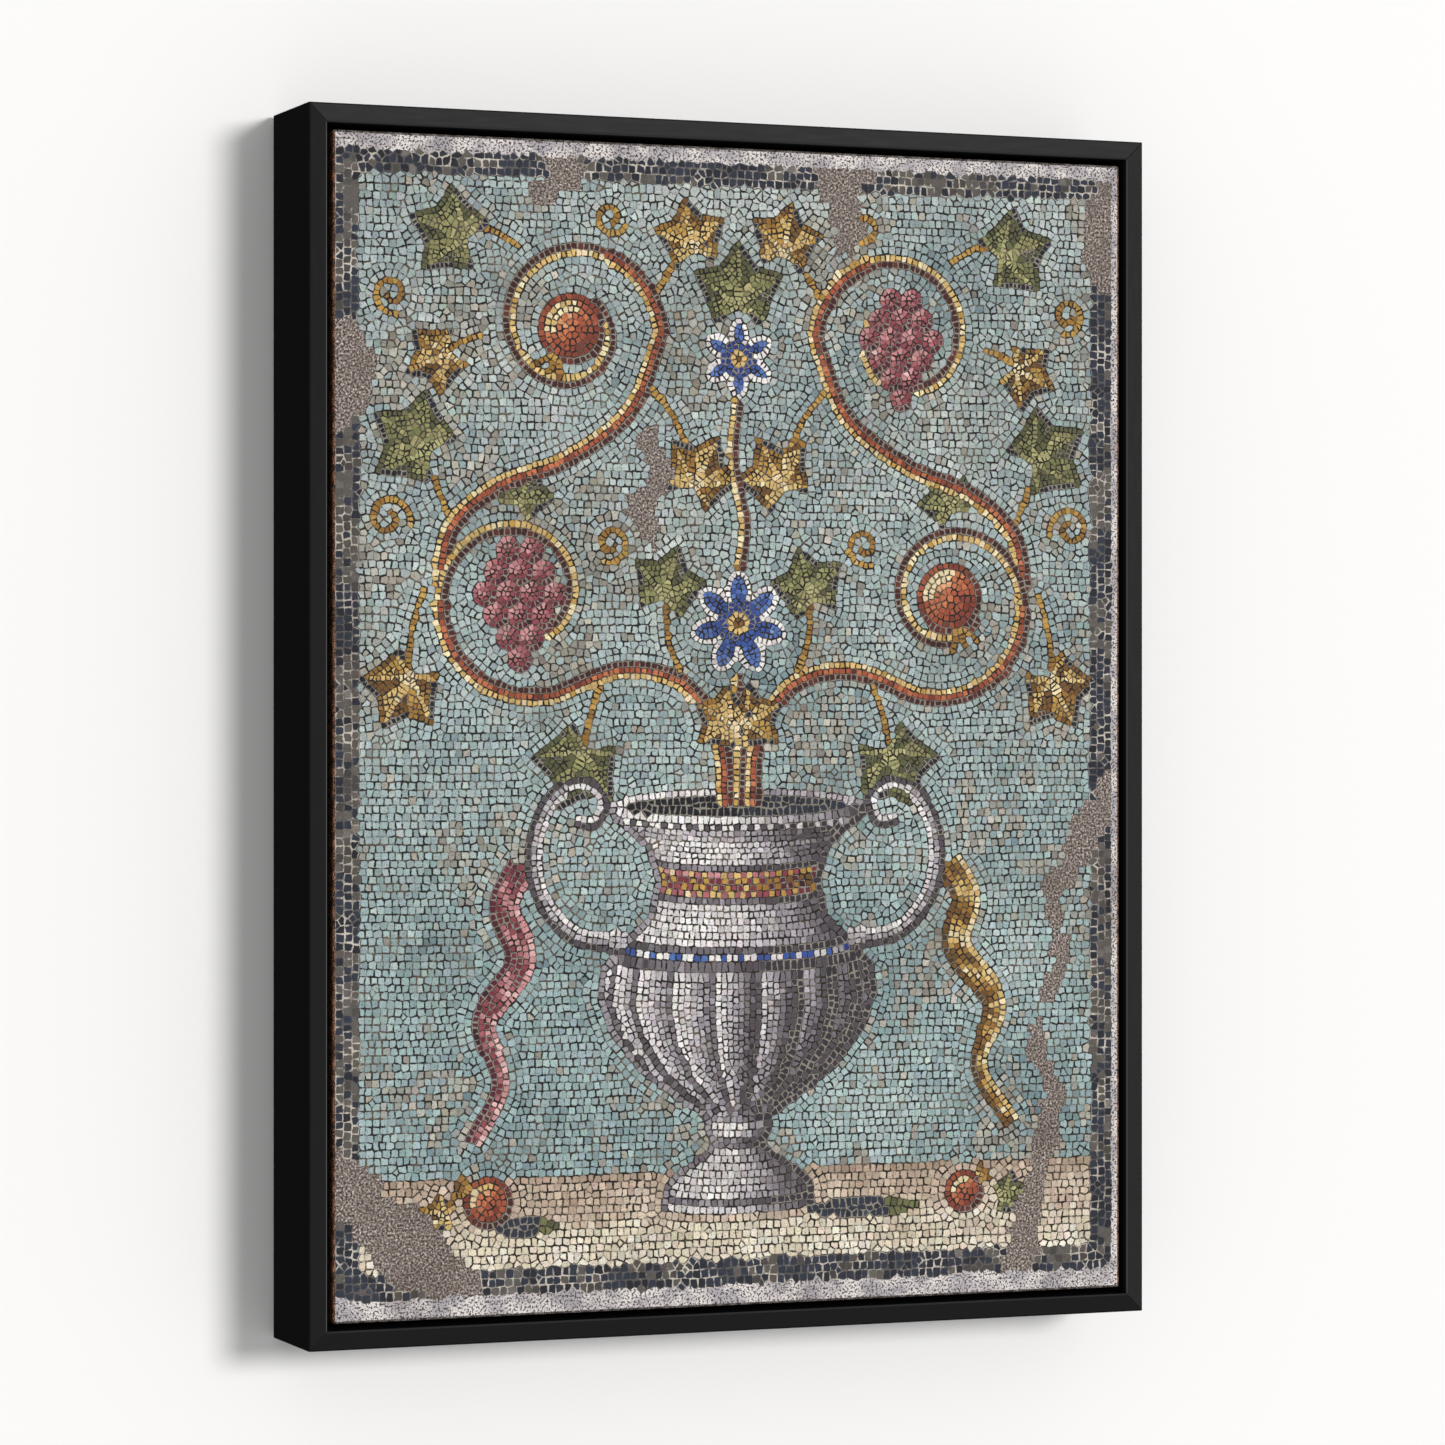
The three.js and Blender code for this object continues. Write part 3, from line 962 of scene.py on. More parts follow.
def cutStones(rows):
    # Cuts the picture into one cell for each stone. Every stone stands for four points, the middles of its
    # quarters, so that the borders between the cells run nearly straight along the rows. Mirror images of
    # the points outside the picture make its edges straight. Returns the cells' corners, and for each face
    # its stone and the two corners at the ends of a piece of its border.
    place, angle, size = rows[:, :2], rows[:, 2], rows[:, 3:5] * cutting["quarter"]
    ahead = np.column_stack([np.cos(angle), np.sin(angle)])
    side = np.column_stack([-np.sin(angle), np.cos(angle)])
    signs = [(-1, -1), (1, -1), (1, 1), (-1, 1)]
    points = np.vstack([place + i * size[:, :1] * ahead + j * size[:, 1:] * side for i, j in signs])
    owner = np.tile(np.arange(len(rows)), 4)
    limit = np.array([halfWidth, halfHeight])
    points = np.clip(points, -limit + cutting["margin"], limit - cutting["margin"])
    for axis, sign, label in pictureEdges:
        images = points[sign * points[:, axis] > limit[axis] - cutting["mirrored"]]
        images[:, axis] = sign * 2 * limit[axis] - images[:, axis]
        points = np.vstack([points, images])
        owner = np.concatenate([owner, np.full(len(images), label)])
    found = delaunay_2d_cdt([Vector(p) for p in points], [], [], 0, 1e-7, True)
    points, triangles = np.array(found[0]), np.array(found[2])
    owners = owner[[ids[0] for ids in found[3]]][triangles]
    # where three stones meet, the centre of the circle through their points is a corner of all three
    meets = (owners != np.roll(owners, 1, axis=1)).all(axis=1) & (owners >= 0).any(axis=1)
    triangles, owners = triangles[meets], owners[meets]
    a, b, c = (points[triangles[:, k]] for k in range(3))
    ab, ac = b - a, c - a
    cross = 2 * (ab[:, 0] * ac[:, 1] - ab[:, 1] * ac[:, 0])
    ab2, ac2 = (ab**2).sum(axis=1), (ac**2).sum(axis=1)
    corner = np.column_stack([ac[:, 1] * ab2 - ab[:, 1] * ac2, ab[:, 0] * ac2 - ac[:, 0] * ab2])
    corner = np.clip(a + corner / cross[:, None], -limit, limit)
    for axis, sign, label in pictureEdges:
        corner[(owners == label).any(axis=1), axis] = sign * limit[axis]
    shared = defaultdict(list)
    for i, (p, q, r) in enumerate(owners.tolist()):
        for pair in ((p, q), (q, r), (p, r)):
            shared[(min(pair), max(pair))].append(i)
    faces = []
    for (p, q), ends in shared.items():
        if q < 0:
            continue
        if len(ends) > 2:
            across = place[q] - (place[p] if p >= 0 else corner[ends].mean(axis=0))
            ends.sort(key=lambda i: corner[i][0] * -across[1] + corner[i][1] * across[0])
        faces += [(owner, i, j) for i, j in zip(ends[::2], ends[1::2]) for owner in (p, q) if owner >= 0]
    return corner, faces


cloth = {
    "thickness": 0.6,  # millimetres, as are the next four
    "turnIn": 30.0,
    "backRound": 0.8,
    "cornerStep": 0.63,  # what each column of points round a corner takes of the sides' length
    "tuckedIn": 4.0,  # how far the raw back runs on behind the bars
    "roundSteps": 3,
    "reverseSteps": (12, 17),
    "uprightTint": (168, 122, 94),  # the print's brown stretched edge on the left and right sides, made lighter as painted light so that it still shows brown in the shade of the gap
    "levelTint": (142, 136, 132),
    "noStone": 5.0,  # a distance to the nearest joint, for a face that shows no stone
}

# places on the baked map, whose whole width is 1
bakedMap = {
    "picture": 586.0,  # millimetres of the face that would fill the map's width
    "pictureAt": (6, 10),
    "sidesAt": (0.737, 0.008),  # the sides are cut in three and stand beside the face
    "columns": 3,
    "columnStep": 0.086,
    "columnLength": 0.97,
    "down": 0.001,  # for each millimetre down a side
    "reverseAt": 0.02,
    "reverse": 0.96,
}


class ClothMesh:  # faces with what the finishes read on them
    def __init__(self):
        self.points = []
        self.faces = []
        self.material = []
        self.colour = []  # one for each face corner, as are the next three
        self.edge = []  # millimetres to the nearest border of the stone, where on that border, and the kind
        self.flat = []  # place on the unfolded cloth, in metres
        self.bake = []  # place on the baked map

    def face(self, corners, material, colour, edges, flats, bakes):
        self.faces.append(corners)
        self.material.append(material)
        self.colour += [colour] * len(corners)
        self.edge += edges
        self.flat += flats
        self.bake += bakes

    def makePiece(self, name, finishes):
        used = sorted({i for face in self.faces for i in face})
        order = {old: new for new, old in enumerate(used)}
        faces = [[order[i] for i in face] for face in self.faces]
        data = bpy.data.meshes.new(name)
        data.from_pydata([self.points[i] for i in used], [], faces)
        data.polygons.foreach_set("material_index", self.material)
        tint = data.color_attributes.new("stone", "BYTE_COLOR", "CORNER")
        tint.data.foreach_set("color", np.array(self.colour, np.float32).ravel())
        edge = data.attributes.new("edge", "FLOAT_VECTOR", "CORNER")
        edge.data.foreach_set("vector", np.array(self.edge, np.float32).ravel())
        for layer, places in (("cloth", self.flat), ("OFBake", self.bake)):
            data.uv_layers.new(name=layer).data.foreach_set("uv", np.array(places, np.float32).ravel())
        for finish in finishes:
            data.materials.append(finish)
        data.update()
        piece = newObject(name, data)
        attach(piece, "root")
        return piece


def pictureOnMap(x, z):
    left, bottom = bakedMap["pictureAt"]
    return (x + halfWidth + left) / bakedMap["picture"], (z + halfHeight + bottom) / bakedMap["picture"]


def makeFace(mesh, rows, corners, faces):
    # each stone is a fan of triangles round its middle, flat on the cloth
    spots = np.vstack([rows[:, :2], corners])
    mesh.points += [(x * mm, canvasLow.y, pictureMiddle.z + z * mm) for x, z in spots]
    colours = [linear(row[5:8].clip(*picture["inkRange"])) for row in rows]
    shown = [kinds["mortar"] if row[8] != kinds["plaster"] and isLost(*row[:2]) else row[8] for row in rows]
    made = set()
    for owner, i, j in faces:
        points = [owner, len(rows) + i, len(rows) + j]
        centre, first, last = spots[points]
        turn = (first[0] - centre[0]) * (last[1] - centre[1]) - (first[1] - centre[1]) * (last[0] - centre[0])
        if (owner, min(i, j), max(i, j)) in made or abs(turn) < cutting["least"]:
            continue
        made.add((owner, min(i, j), max(i, j)))
        if turn < 0:
            points[1:] = points[:0:-1]
        kind = shown[owner]
        edges = [(cloth["noStone"], 0.0, kind)] * 3
        if kind < kinds["mortar"]:
            height = abs(turn) / max(float(np.hypot(*(last - first))), 1e-6)
            edges = [(height, 0.0, kind), (0.0, -1.0, kind), (0.0, 1.0, kind)]
        places = spots[points]
        mesh.face(points, 0, colours[owner], edges, [(x * mm, z * mm) for x, z in places],
                  [pictureOnMap(x, z) for x, z in places])


def makeSides(mesh, stoneCount, corners):
    # columns of points from the printed face's edge, round the bar and onto its back
    limit = np.array([halfWidth, halfHeight])
    onSide = np.isclose(np.abs(corners), limit, atol=1e-6)
    spots = {}
    for i in np.flatnonzero(onSide.any(axis=1)):
        spots.setdefault(tuple(np.round(corners[i], 5)), i)
    loop = []
    for axis, sign in ((0, 1), (1, 1), (0, -1), (1, -1)):  # anticlockwise, from the right side
        along = 1 - axis
        here = [(p, i) for p, i in spots.items() if math.isclose(p[axis], sign * limit[axis], abs_tol=1e-4)]
        here.sort(key=lambda spot: spot[0][along], reverse=(axis == 0) != (sign > 0))
        out = math.atan2(sign if axis else 0, 0 if axis else sign)
        loop += [(p, i, out) for p, i in here]
        loop += [(*here[-1], out + math.radians(turn)) for turn in (30, 60)]
    rings, travel = sideProfile()
    start = len(mesh.points)
    for (x, z), _, out in loop:
        ahead = np.array([math.cos(out), math.sin(out)])
        across, up = abs(ahead)
        # the turned-in margin is mitred at the corners
        room = max(0.0, halfHeight - abs(z) if across > 0.9 else halfWidth - abs(x) if up > 0.9 else 0.0)
        for outward, down, inward in rings:
            px, pz = np.array([x, z]) + ahead * (outward - min(inward, room + picture["round"]))
            mesh.points.append((px * mm, canvasLow.y + down * mm, pictureMiddle.z + pz * mm))
    # round a corner the columns share one place, so there each takes a little of the sides' length
    steps = [math.dist(a[0], b[0]) or cloth["cornerStep"] for a, b in zip(loop, loop[1:] + loop[:1])]
    along = np.cumsum([0, *steps])
    height = len(rings)
    for k in range(len(loop)):
        after = (k + 1) % len(loop)
        tint = cloth["uprightTint"] if abs(math.cos(loop[k][2])) > 0.6 else cloth["levelTint"]
        here = [stoneCount + loop[k][1], *range(start + k * height, start + (k + 1) * height)]
        there = [stoneCount + loop[after][1], *range(start + after * height, start + (after + 1) * height)]
        for r in range(height):
            ends = [(here[r + 1], along[k], travel[r + 1]), (there[r + 1], along[k + 1], travel[r + 1]),
                    (there[r], along[k + 1], travel[r]), (here[r], along[k], travel[r])]
            addSide(mesh, ends, along[-1], 0 if r < height - 2 else 1, tint)


def sideProfile():
    # for each ring of points, how far out, down and back in it lies, then the way over the cloth to the
    # picture's edge and to every ring
    depth = (canvasHigh.y - canvasLow.y) / mm
    front, back = picture["round"], cloth["backRound"]
    arc = [math.pi / 2 * k / cloth["roundSteps"] for k in range(cloth["roundSteps"] + 1)]
    rings = [(front * math.sin(t), front * (1 - math.cos(t)), 0) for t in arc[1:]]
    rings += [(front - back * (1 - math.cos(t)), depth - back * (1 - math.sin(t)), 0) for t in arc]
    rings += [(front, depth, cloth["turnIn"]), (front, depth - cloth["thickness"], cloth["turnIn"])]
    travel = [front * t for t in arc]
    travel += [travel[-1] + depth - front - back + back * t for t in arc]
    travel += [travel[-1] + cloth["turnIn"], travel[-1] + cloth["turnIn"] + cloth["thickness"]]
    return rings, travel


def addSide(mesh, corners, total, material, tint):
    # one face of the sides; each corner is a point, its place along all four sides and the way down to it
    columns = bakedMap["columns"]
    column = min(columns - 1, int(columns * (corners[0][1] + 0.01) / total))  # one on a cut goes to the next
    places = [mesh.points[point] for point, _, _ in corners]
    corners = [corner for corner, a, b in zip(corners, places, places[1:] + places[:1]) if a != b]
    if len(corners) < 3:
        return
    left, bottom = bakedMap["sidesAt"]
    left += bakedMap["columnStep"] * column
    long = bakedMap["columnLength"]
    flats = [(along * mm, -down * mm) for _, along, down in corners]
    bakes = [(left + bakedMap["down"] * down, bottom + long * (columns * along / total - column))
             for _, along, down in corners]
    edges = [(cloth["noStone"], 0.0, kinds["side"])] * len(corners)
    mesh.face([point for point, _, _ in corners], material, linear(tint), edges, flats, bakes)


def makeReverse(finish):  # the raw back of the cloth between the bars, which runs on a little behind them
    mesh = ClothMesh()
    tucked = cloth["tuckedIn"] * mm
    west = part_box("stretcher_bar_left")[1].x - tucked
    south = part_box("stretcher_bar_bottom")[1].z - tucked
    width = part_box("stretcher_bar_right")[0].x + tucked - west
    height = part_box("stretcher_bar_top")[0].z + tucked - south
    across, up = cloth["reverseSteps"]
    y = canvasLow.y + cloth["thickness"] * mm
    mesh.points = [(west + width * i / across, y, south + height * j / up)
                   for j in range(up + 1) for i in range(across + 1)]
    at, share = bakedMap["reverseAt"], bakedMap["reverse"]
    for j in range(up):
        for i in range(across):
            a = j * (across + 1) + i
            corners = [a, a + across + 1, a + across + 2, a + 1]
            flats = [(mesh.points[c][0], mesh.points[c][2]) for c in corners]
            bakes = [(at + share * (x - west) / width, at + share * (z - south) / height) for x, z in flats]
            mesh.face(corners, 0, (1, 1, 1, 1), [(0, 0, 0)] * 4, flats, bakes)
    return mesh.makePiece("canvas_reverse", [finish])


def makeCanvas():  # the face cut into stones, the wrapped sides and the raw margin behind
    rows = layPicture()
    corners, faces = cutStones(rows)
    mesh = ClothMesh()
    makeFace(mesh, rows, corners, faces)
    makeSides(mesh, len(rows), corners)
    raw = rawCanvasFinish()
    piece = mesh.makePiece("printed_canvas", [printFinish(), raw])
    reverse = makeReverse(raw)
    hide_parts("canvas")
    wrap = canvasHigh.y - canvasLow.y + cloth["turnIn"] * mm
    print("canvas stretched,", len(mesh.faces), "faces")


# Finishes

printLook = {
    # millimetres from a stone's border to where the stone begins, and what changes it
    "joint": 0.25,
    "cornerLoss": 0.14,
    "ragged": 0.42,
    "gape": 0.25,
    "threadPitch": 0.62,
    "pit": (74, 64, 56),
    "rim": (86, 76, 66),
    "openJoint": (32, 28, 25),
    "filledJoint": (98, 88, 76),
    "jointOfDarkStones": (136, 130, 120),
    "borderJoint": [(88, 85, 84), (198, 190, 178)],
    "mortar": [(62, 54, 49), (152, 139, 131)],
    "mortarPip": (212, 203, 194),
    "mortarStain": (104, 93, 87),
    "plaster": [(222, 214, 210), (176, 170, 174)],
    "plasterSpeck": (72, 67, 67),
    "sideSpeck": (46, 36, 30),
    "stain": (190, 184, 178),
}


def weaveOf(finish):  # the cloth's threads, over and under, from -1 to 1
    along, up, _ = finish.parts(finish.node("ShaderNodeUVMap", {"uv_map": "cloth"}))
    pitch = 2 * math.pi / (printLook["threadPitch"] * mm)
    return finish.math("SINE", along * pitch) * finish.math("SINE", up * pitch)


def printFinish():
    finish = Finish("printed mosaic")
    where = finish.node("ShaderNodeUVMap", {"uv_map": "cloth"})
    look = {name: linear(value) for name, value in printLook.items() if isinstance(value, tuple)}

    def grain(scale, detail, shift):
        place = finish.node("ShaderNodeMapping", values={"Vector": where, "Location": (shift, shift, 0)})
        return finish.node("ShaderNodeTexNoise", {"noise_dimensions": "2D"},
                           {"Vector": place, "Scale": scale, "Detail": detail, "Roughness": 0.6})

    def between(name, share):
        return finish.mix(share, *(linear(colour) for colour in printLook[name]))

    def isFrom(name):  # 1 on faces of that kind and the later ones
        return finish.remap(kind, kinds[name] - 0.6, kinds[name] - 0.4)

    tint = finish.node("ShaderNodeVertexColor", {"layer_name": "stone"})
    edge = finish.node("ShaderNodeAttribute", {"attribute_name": "edge"}, output="Vector")
    rim, along, kind = finish.parts(edge)
    light = finish.node("ShaderNodeRGBToBW", values=[tint])
    fine = grain(1700, 2.0, 0.0)
    speck = grain(900, 2.0, 3.0)
    vein = grain(240, 2.0, 5.0)
    patch = grain(62, 3.0, 7.0)
    cloud = grain(17, 3.0, 9.0)

    # a stone shows where it is far enough from its own border; some joints are filled, others gape
    gape = finish.remap(vein, 0.34, 0.66, -printLook["gape"], printLook["gape"])
    ragged = (speck - 0.5) * printLook["ragged"]
    wall = rim + ragged - gape - printLook["joint"] - printLook["cornerLoss"] * along**4
    body = finish.mix(1.0, tint, finish.remap(fine, 0.3, 0.7, 0.74, 1.22), "MULTIPLY")
    body = finish.mix(1.0, body, finish.remap(vein, 0.3, 0.7, 0.90, 1.09), "MULTIPLY")
    body = finish.mix(finish.remap(speck, 0.36, 0.30, 0.0, 0.6), body, look["pit"])
    body = finish.mix(finish.remap(wall, 0.0, 0.50, 0.28, 0.0), body, look["rim"])
    filled = finish.remap(patch, 0.50, 0.68) * finish.remap(light, 0.10, 0.25)
    joint = finish.mix(filled, look["openJoint"], look["filledJoint"])
    joint = finish.mix(finish.remap(light, 0.062, 0.074), look["jointOfDarkStones"], joint)
    pale = between("borderJoint", finish.remap(patch + (speck - 0.5) * 0.3, 0.44, 0.62))
    joint = finish.mix(isFrom("border"), joint, pale)
    colour = finish.mix(finish.remap(wall, -0.06, 0.10), joint, body)

    # mortar where stones are lost, speckled plaster outside the dark border, and the wrapped sides
    grit = speck + (fine - 0.5) * 0.5
    mortar = between("mortar", finish.remap(grit, 0.40, 0.58))
    mortar = finish.mix(finish.remap(grit, 0.64, 0.72), mortar, look["mortarPip"])
    mortar = finish.mix(finish.remap(patch, 0.4, 0.7, 0.0, 0.35), mortar, look["mortarStain"])
    plaster = between("plaster", finish.remap(patch, 0.4, 0.6))
    speckled = finish.remap(speck + (fine - 0.5) * 0.4, 0.41, 0.48)
    plaster = finish.mix(speckled, look["plasterSpeck"], plaster)
    wrapped = finish.mix(finish.remap(fine + (vein - 0.5) * 0.5, 0.50, 0.62), look["sideSpeck"], tint)
    for name, surface in (("mortar", mortar), ("plaster", plaster), ("side", wrapped)):
        colour = finish.mix(isFrom(name), colour, surface)
    stain = finish.remap(cloud + (patch - 0.5) * 0.5, 0.48, 0.76, 0.0, 0.4)
    colour = finish.mix(stain, colour, look["stain"], "MULTIPLY")
    finish.set(Base_Color=colour, Roughness=0.78, Specular_IOR_Level=0.25,
               Normal=finish.bump(weaveOf(finish), 0.03 * mm, 0.5))
    return finish.material


rawLook = {
    "hollow": (186, 175, 152),
    "thread": (236, 229, 212),
    "slub": (202, 189, 162),
}


def rawCanvasFinish():
    finish = Finish("raw canvas")
    weave = weaveOf(finish)
    slub = finish.noise(420, 2.0, 0.6)
    colour = finish.mix(finish.remap(weave, -1, 1), linear(rawLook["hollow"]), linear(rawLook["thread"]))
    colour = finish.mix(finish.remap(slub, 0.45, 0.75, 0.0, 0.5), colour, linear(rawLook["slub"]))
    finish.set(Base_Color=colour, Roughness=0.9, Normal=finish.bump(weave, 0.12 * mm, 0.8))
    return finish.material


frameLook = {
    "tone": {"top": 1.0, "right": 0.7, "bottom": 0.12, "left": 0.25},  # painted light and shade: how light each rail's paint is made, as the light falls on it, lightest at the top
    "rub": {"top": 0.12, "right": 0.4, "bottom": 0.16, "left": 0.55},  # how strong the painted highlight on its arris at the opening is
    "dark": (17, 17, 18),
    "light": (34, 34, 35),
    # the colour of the painted highlight on the arris round the opening
    "paintedHighlight": (104, 106, 102),
    "roughness": 0.54,
    "arris": 0.25 * mm,
}


def blackFrameFinish(side):
    finish = Finish(f"satin black paint {side}")
    # painted light and shade: the four rails are lit and shaded copies of one black paint, lighter or darker
    # and with more or less sheen by their tone
    tone = frameLook["tone"][side]
    upright = side in ("left", "right")
    fine = finish.noise(520, 3.0, 0.6, finish.places((1, 1, 0.12) if upright else (0.12, 1, 1)))
    dark, light = np.array(frameLook["dark"]), np.array(frameLook["light"])
    low = dark + (light - dark) * tone * 0.6
    colour = finish.mix(finish.remap(fine, 0.3, 0.7), linear(low), linear(low + 5))
    rough = finish.remap(fine, 0.3, 0.7, frameLook["roughness"], frameLook["roughness"] + 0.1)
    # a painted highlight on the small bevel round the opening, where it faces inward and to the front
    x, y, z = finish.parts(finish.node("ShaderNodeNewGeometry", output="Normal"))
    inward = (x if upright else z) * (1.0 if side in ("left", "bottom") else -1.0)
    paintedHighlight = finish.remap(inward, 0.3, 0.6) * finish.remap(y, -0.3, -0.6)
    colour = finish.mix(paintedHighlight * frameLook["rub"][side], colour, linear(frameLook["paintedHighlight"]))
    finish.set(Base_Color=colour, Roughness=rough, Specular_IOR_Level=round(0.04 + 0.12 * tone, 3),
               Normal=finish.bump(fine, 0.02 * mm, 0.3))
    return finish.material


pineLook = {
    "early": (226, 192, 140),
    "late": (188, 142, 88),
    "fibre": (206, 164, 110),
    "pale": (236, 208, 160),
    "arris": 1.2 * mm,
}


def pineFinish(name, scale):
    finish = Finish(name)
    where = finish.places(scale)
    bend = finish.noise(9, 3.0, 0.5, where)
    values = {"Vector": where, "Scale": 34.0, "Distortion": 7.0, "Detail": 2.0, "Detail Scale": 1.2}
    rings = finish.node("ShaderNodeTexWave", {"wave_type": "BANDS", "bands_direction": "Z"}, values)
    fibre = finish.noise(420, 3.0, 0.7, where)
    colour = finish.mix(rings, linear(pineLook["early"]), linear(pineLook["late"]))
    colour = finish.mix(finish.remap(fibre, 0.35, 0.7, 0.0, 0.5), colour, linear(pineLook["fibre"]))
    colour = finish.mix(finish.remap(bend, 0.4, 0.7, 0.0, 0.35), colour, linear(pineLook["pale"]))
    finish.set(Base_Color=colour, Roughness=0.72, Normal=finish.bump(fibre, 0.08 * mm, 0.5))
    return finish.material


hardwareLook = {
    "zinc plate": ((176, 178, 182), 0.28),  # colour and least roughness
    "brassed steel": ((196, 164, 98), 0.26),
    "rubber": [(22, 22, 23), (38, 38, 38)],
}


def metalFinish(name):
    finish = Finish(name)
    colour, rough = hardwareLook[name]
    rub = finish.noise(1600, 3.0, 0.6)
    tint = finish.mix(finish.remap(rub, 0.3, 0.7), linear(colour), linear([c * 0.82 for c in colour]))
    finish.set(Base_Color=tint, Metallic=1.0, Roughness=finish.remap(rub, 0.3, 0.7, rough, rough + 0.16))
    return finish.material


def rubberFinish():
    finish = Finish("black rubber")
    fine = finish.noise(1400, 3.0, 0.6)
    tint = finish.mix(fine, *(linear(colour) for colour in hardwareLook["rubber"]))
    finish.set(Base_Color=tint, Roughness=0.82, Normal=finish.bump(fine, 0.05 * mm, 0.5))
    return finish.material


def dress(piece, material):
    piece.data.materials.clear()
    piece.data.materials.append(material)


def soften(piece, width):  # joins the model's loose triangles and rounds its arrises
    weld = piece.modifiers.new("weld", "WELD")
    weld.merge_threshold = 0.01 * mm
    bevel = piece.modifiers.new("bevel", "BEVEL")
    bevel.width = width
    bevel.segments = 3
    bevel.limit_method = "ANGLE"
    bevel.angle_limit = math.radians(30)


def finishModel():
    for side in ("top", "right", "bottom", "left"):
        rail = nodes[f"frame_rail_{side}"]
        dress(rail, blackFrameFinish(side))
        soften(rail, frameLook["arris"])
        bar = nodes[f"stretcher_bar_{side}"]
        upright = side in ("left", "right")
        dress(bar, pineFinish(f"pine {side}", (1, 1, 0.06) if upright else (0.06, 1, 1)))
        soften(bar, pineLook["arris"])
    zinc = metalFinish("zinc plate")
    brass = metalFinish("brassed steel")
    rubber = rubberFinish()
    makeScrews(zinc)
    makeStaples(zinc)
    for name, node in nodes.items():
        if name.startswith("screw"):
            dress(node, zinc)
        elif name.startswith("hanger_nail") or name == "sawtooth_hanger":
            dress(node, brass)
        elif name.startswith("wall_bumper"):
            dress(node, rubber)
    print("model finished")


# Hardware that repeats

screwSettings = {
    "Head height": 1.7 * mm,
    "Dome": 0.75 * mm,  # how far the head's rim lies below its crown
    "Recess": 4.2 * mm,
    "Slot": 0.95 * mm,
    "Depth": 1.1 * mm,
    "Shank radius": 1.7 * mm,
    "Turn": 3.1,  # radians, the most that a head is turned
    "Seed": 4,
}


def makeScrews(zinc):
    # pan heads with a cross recess, each turned as the driver left it
    names = sorted(n for n in nodes if n.startswith("screw"))
    low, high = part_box(names[0])
    found = {"Head radius": (high.x - low.x) / 2, "Length": high.y - low.y}
    tree = Repeater("cross head screws", {**screwSettings, **found}, zinc)
    radius, height = tree.input("Head radius"), tree.input("Head height")
    values = {"Vertices": 28, "Side Segments": 1, "Fill Segments": 4, "Radius": radius, "Depth": height}
    head = tree.node("GeometryNodeMeshCylinder", values=values)
    x, y, z = tree.parts(tree.node("GeometryNodeInputPosition"))
    share = (x * x + y * y) / (radius * radius)
    drop = tree.input("Dome") * -1.0 * share * tree.math("GREATER_THAN", z, 0.0)
    head = tree.node("GeometryNodeSetPosition", values={"Geometry": head, "Offset": tree.vector(z=drop)})
    recess, slot, depth = tree.input("Recess"), tree.input("Slot"), tree.input("Depth")
    for size in (tree.vector(recess, slot, depth * 2.0), tree.vector(slot, recess, depth * 2.0)):
        bar = tree.lifted(tree.node("GeometryNodeMeshCube", values={"Size": size}), height * 0.5)
        values = {"Mesh 1": head, "Mesh 2": bar}
        head = tree.node("GeometryNodeMeshBoolean", {"operation": "DIFFERENCE"}, values)
    length = tree.input("Length") - height
    values = {"Vertices": 16, "Radius": tree.input("Shank radius"), "Depth": length}
    shank = tree.node("GeometryNodeMeshCylinder", values=values)
    shank = tree.lifted(shank, (height + length) * -0.5)
    whole = tree.node("GeometryNodeJoinGeometry", values=[head])
    tree.feed(whole.socket.node.inputs[0], shank)
    whole = tree.lifted(whole, height * -0.5)
    spread = tree.spread(tree.input("Geometry"), whole, (math.radians(-90), 0, 0), 0.0, tree.input("Turn"))
    boxes = [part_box(name) for name in names]
    seats = [((low.x + high.x) / 2, high.y, (low.z + high.z) / 2) for low, high in boxes]
    piece = tree.make(spread, "cross_head_screws", seats, [])
    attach(piece, "root")
    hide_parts(*names)


stapleSettings = {
    "Spacing": 41.0 * mm,
    "Half width": 5.2 * mm,
    "Wire": 0.6 * mm,
    "Leg": 5.28 * mm,
    "Askew": 0.16,  # radians either way
    "Seed": 9,
}
stapleInset = 24 * mm  # from the cloth's edge to the line they stand on
stapleLift = 0.12 * mm


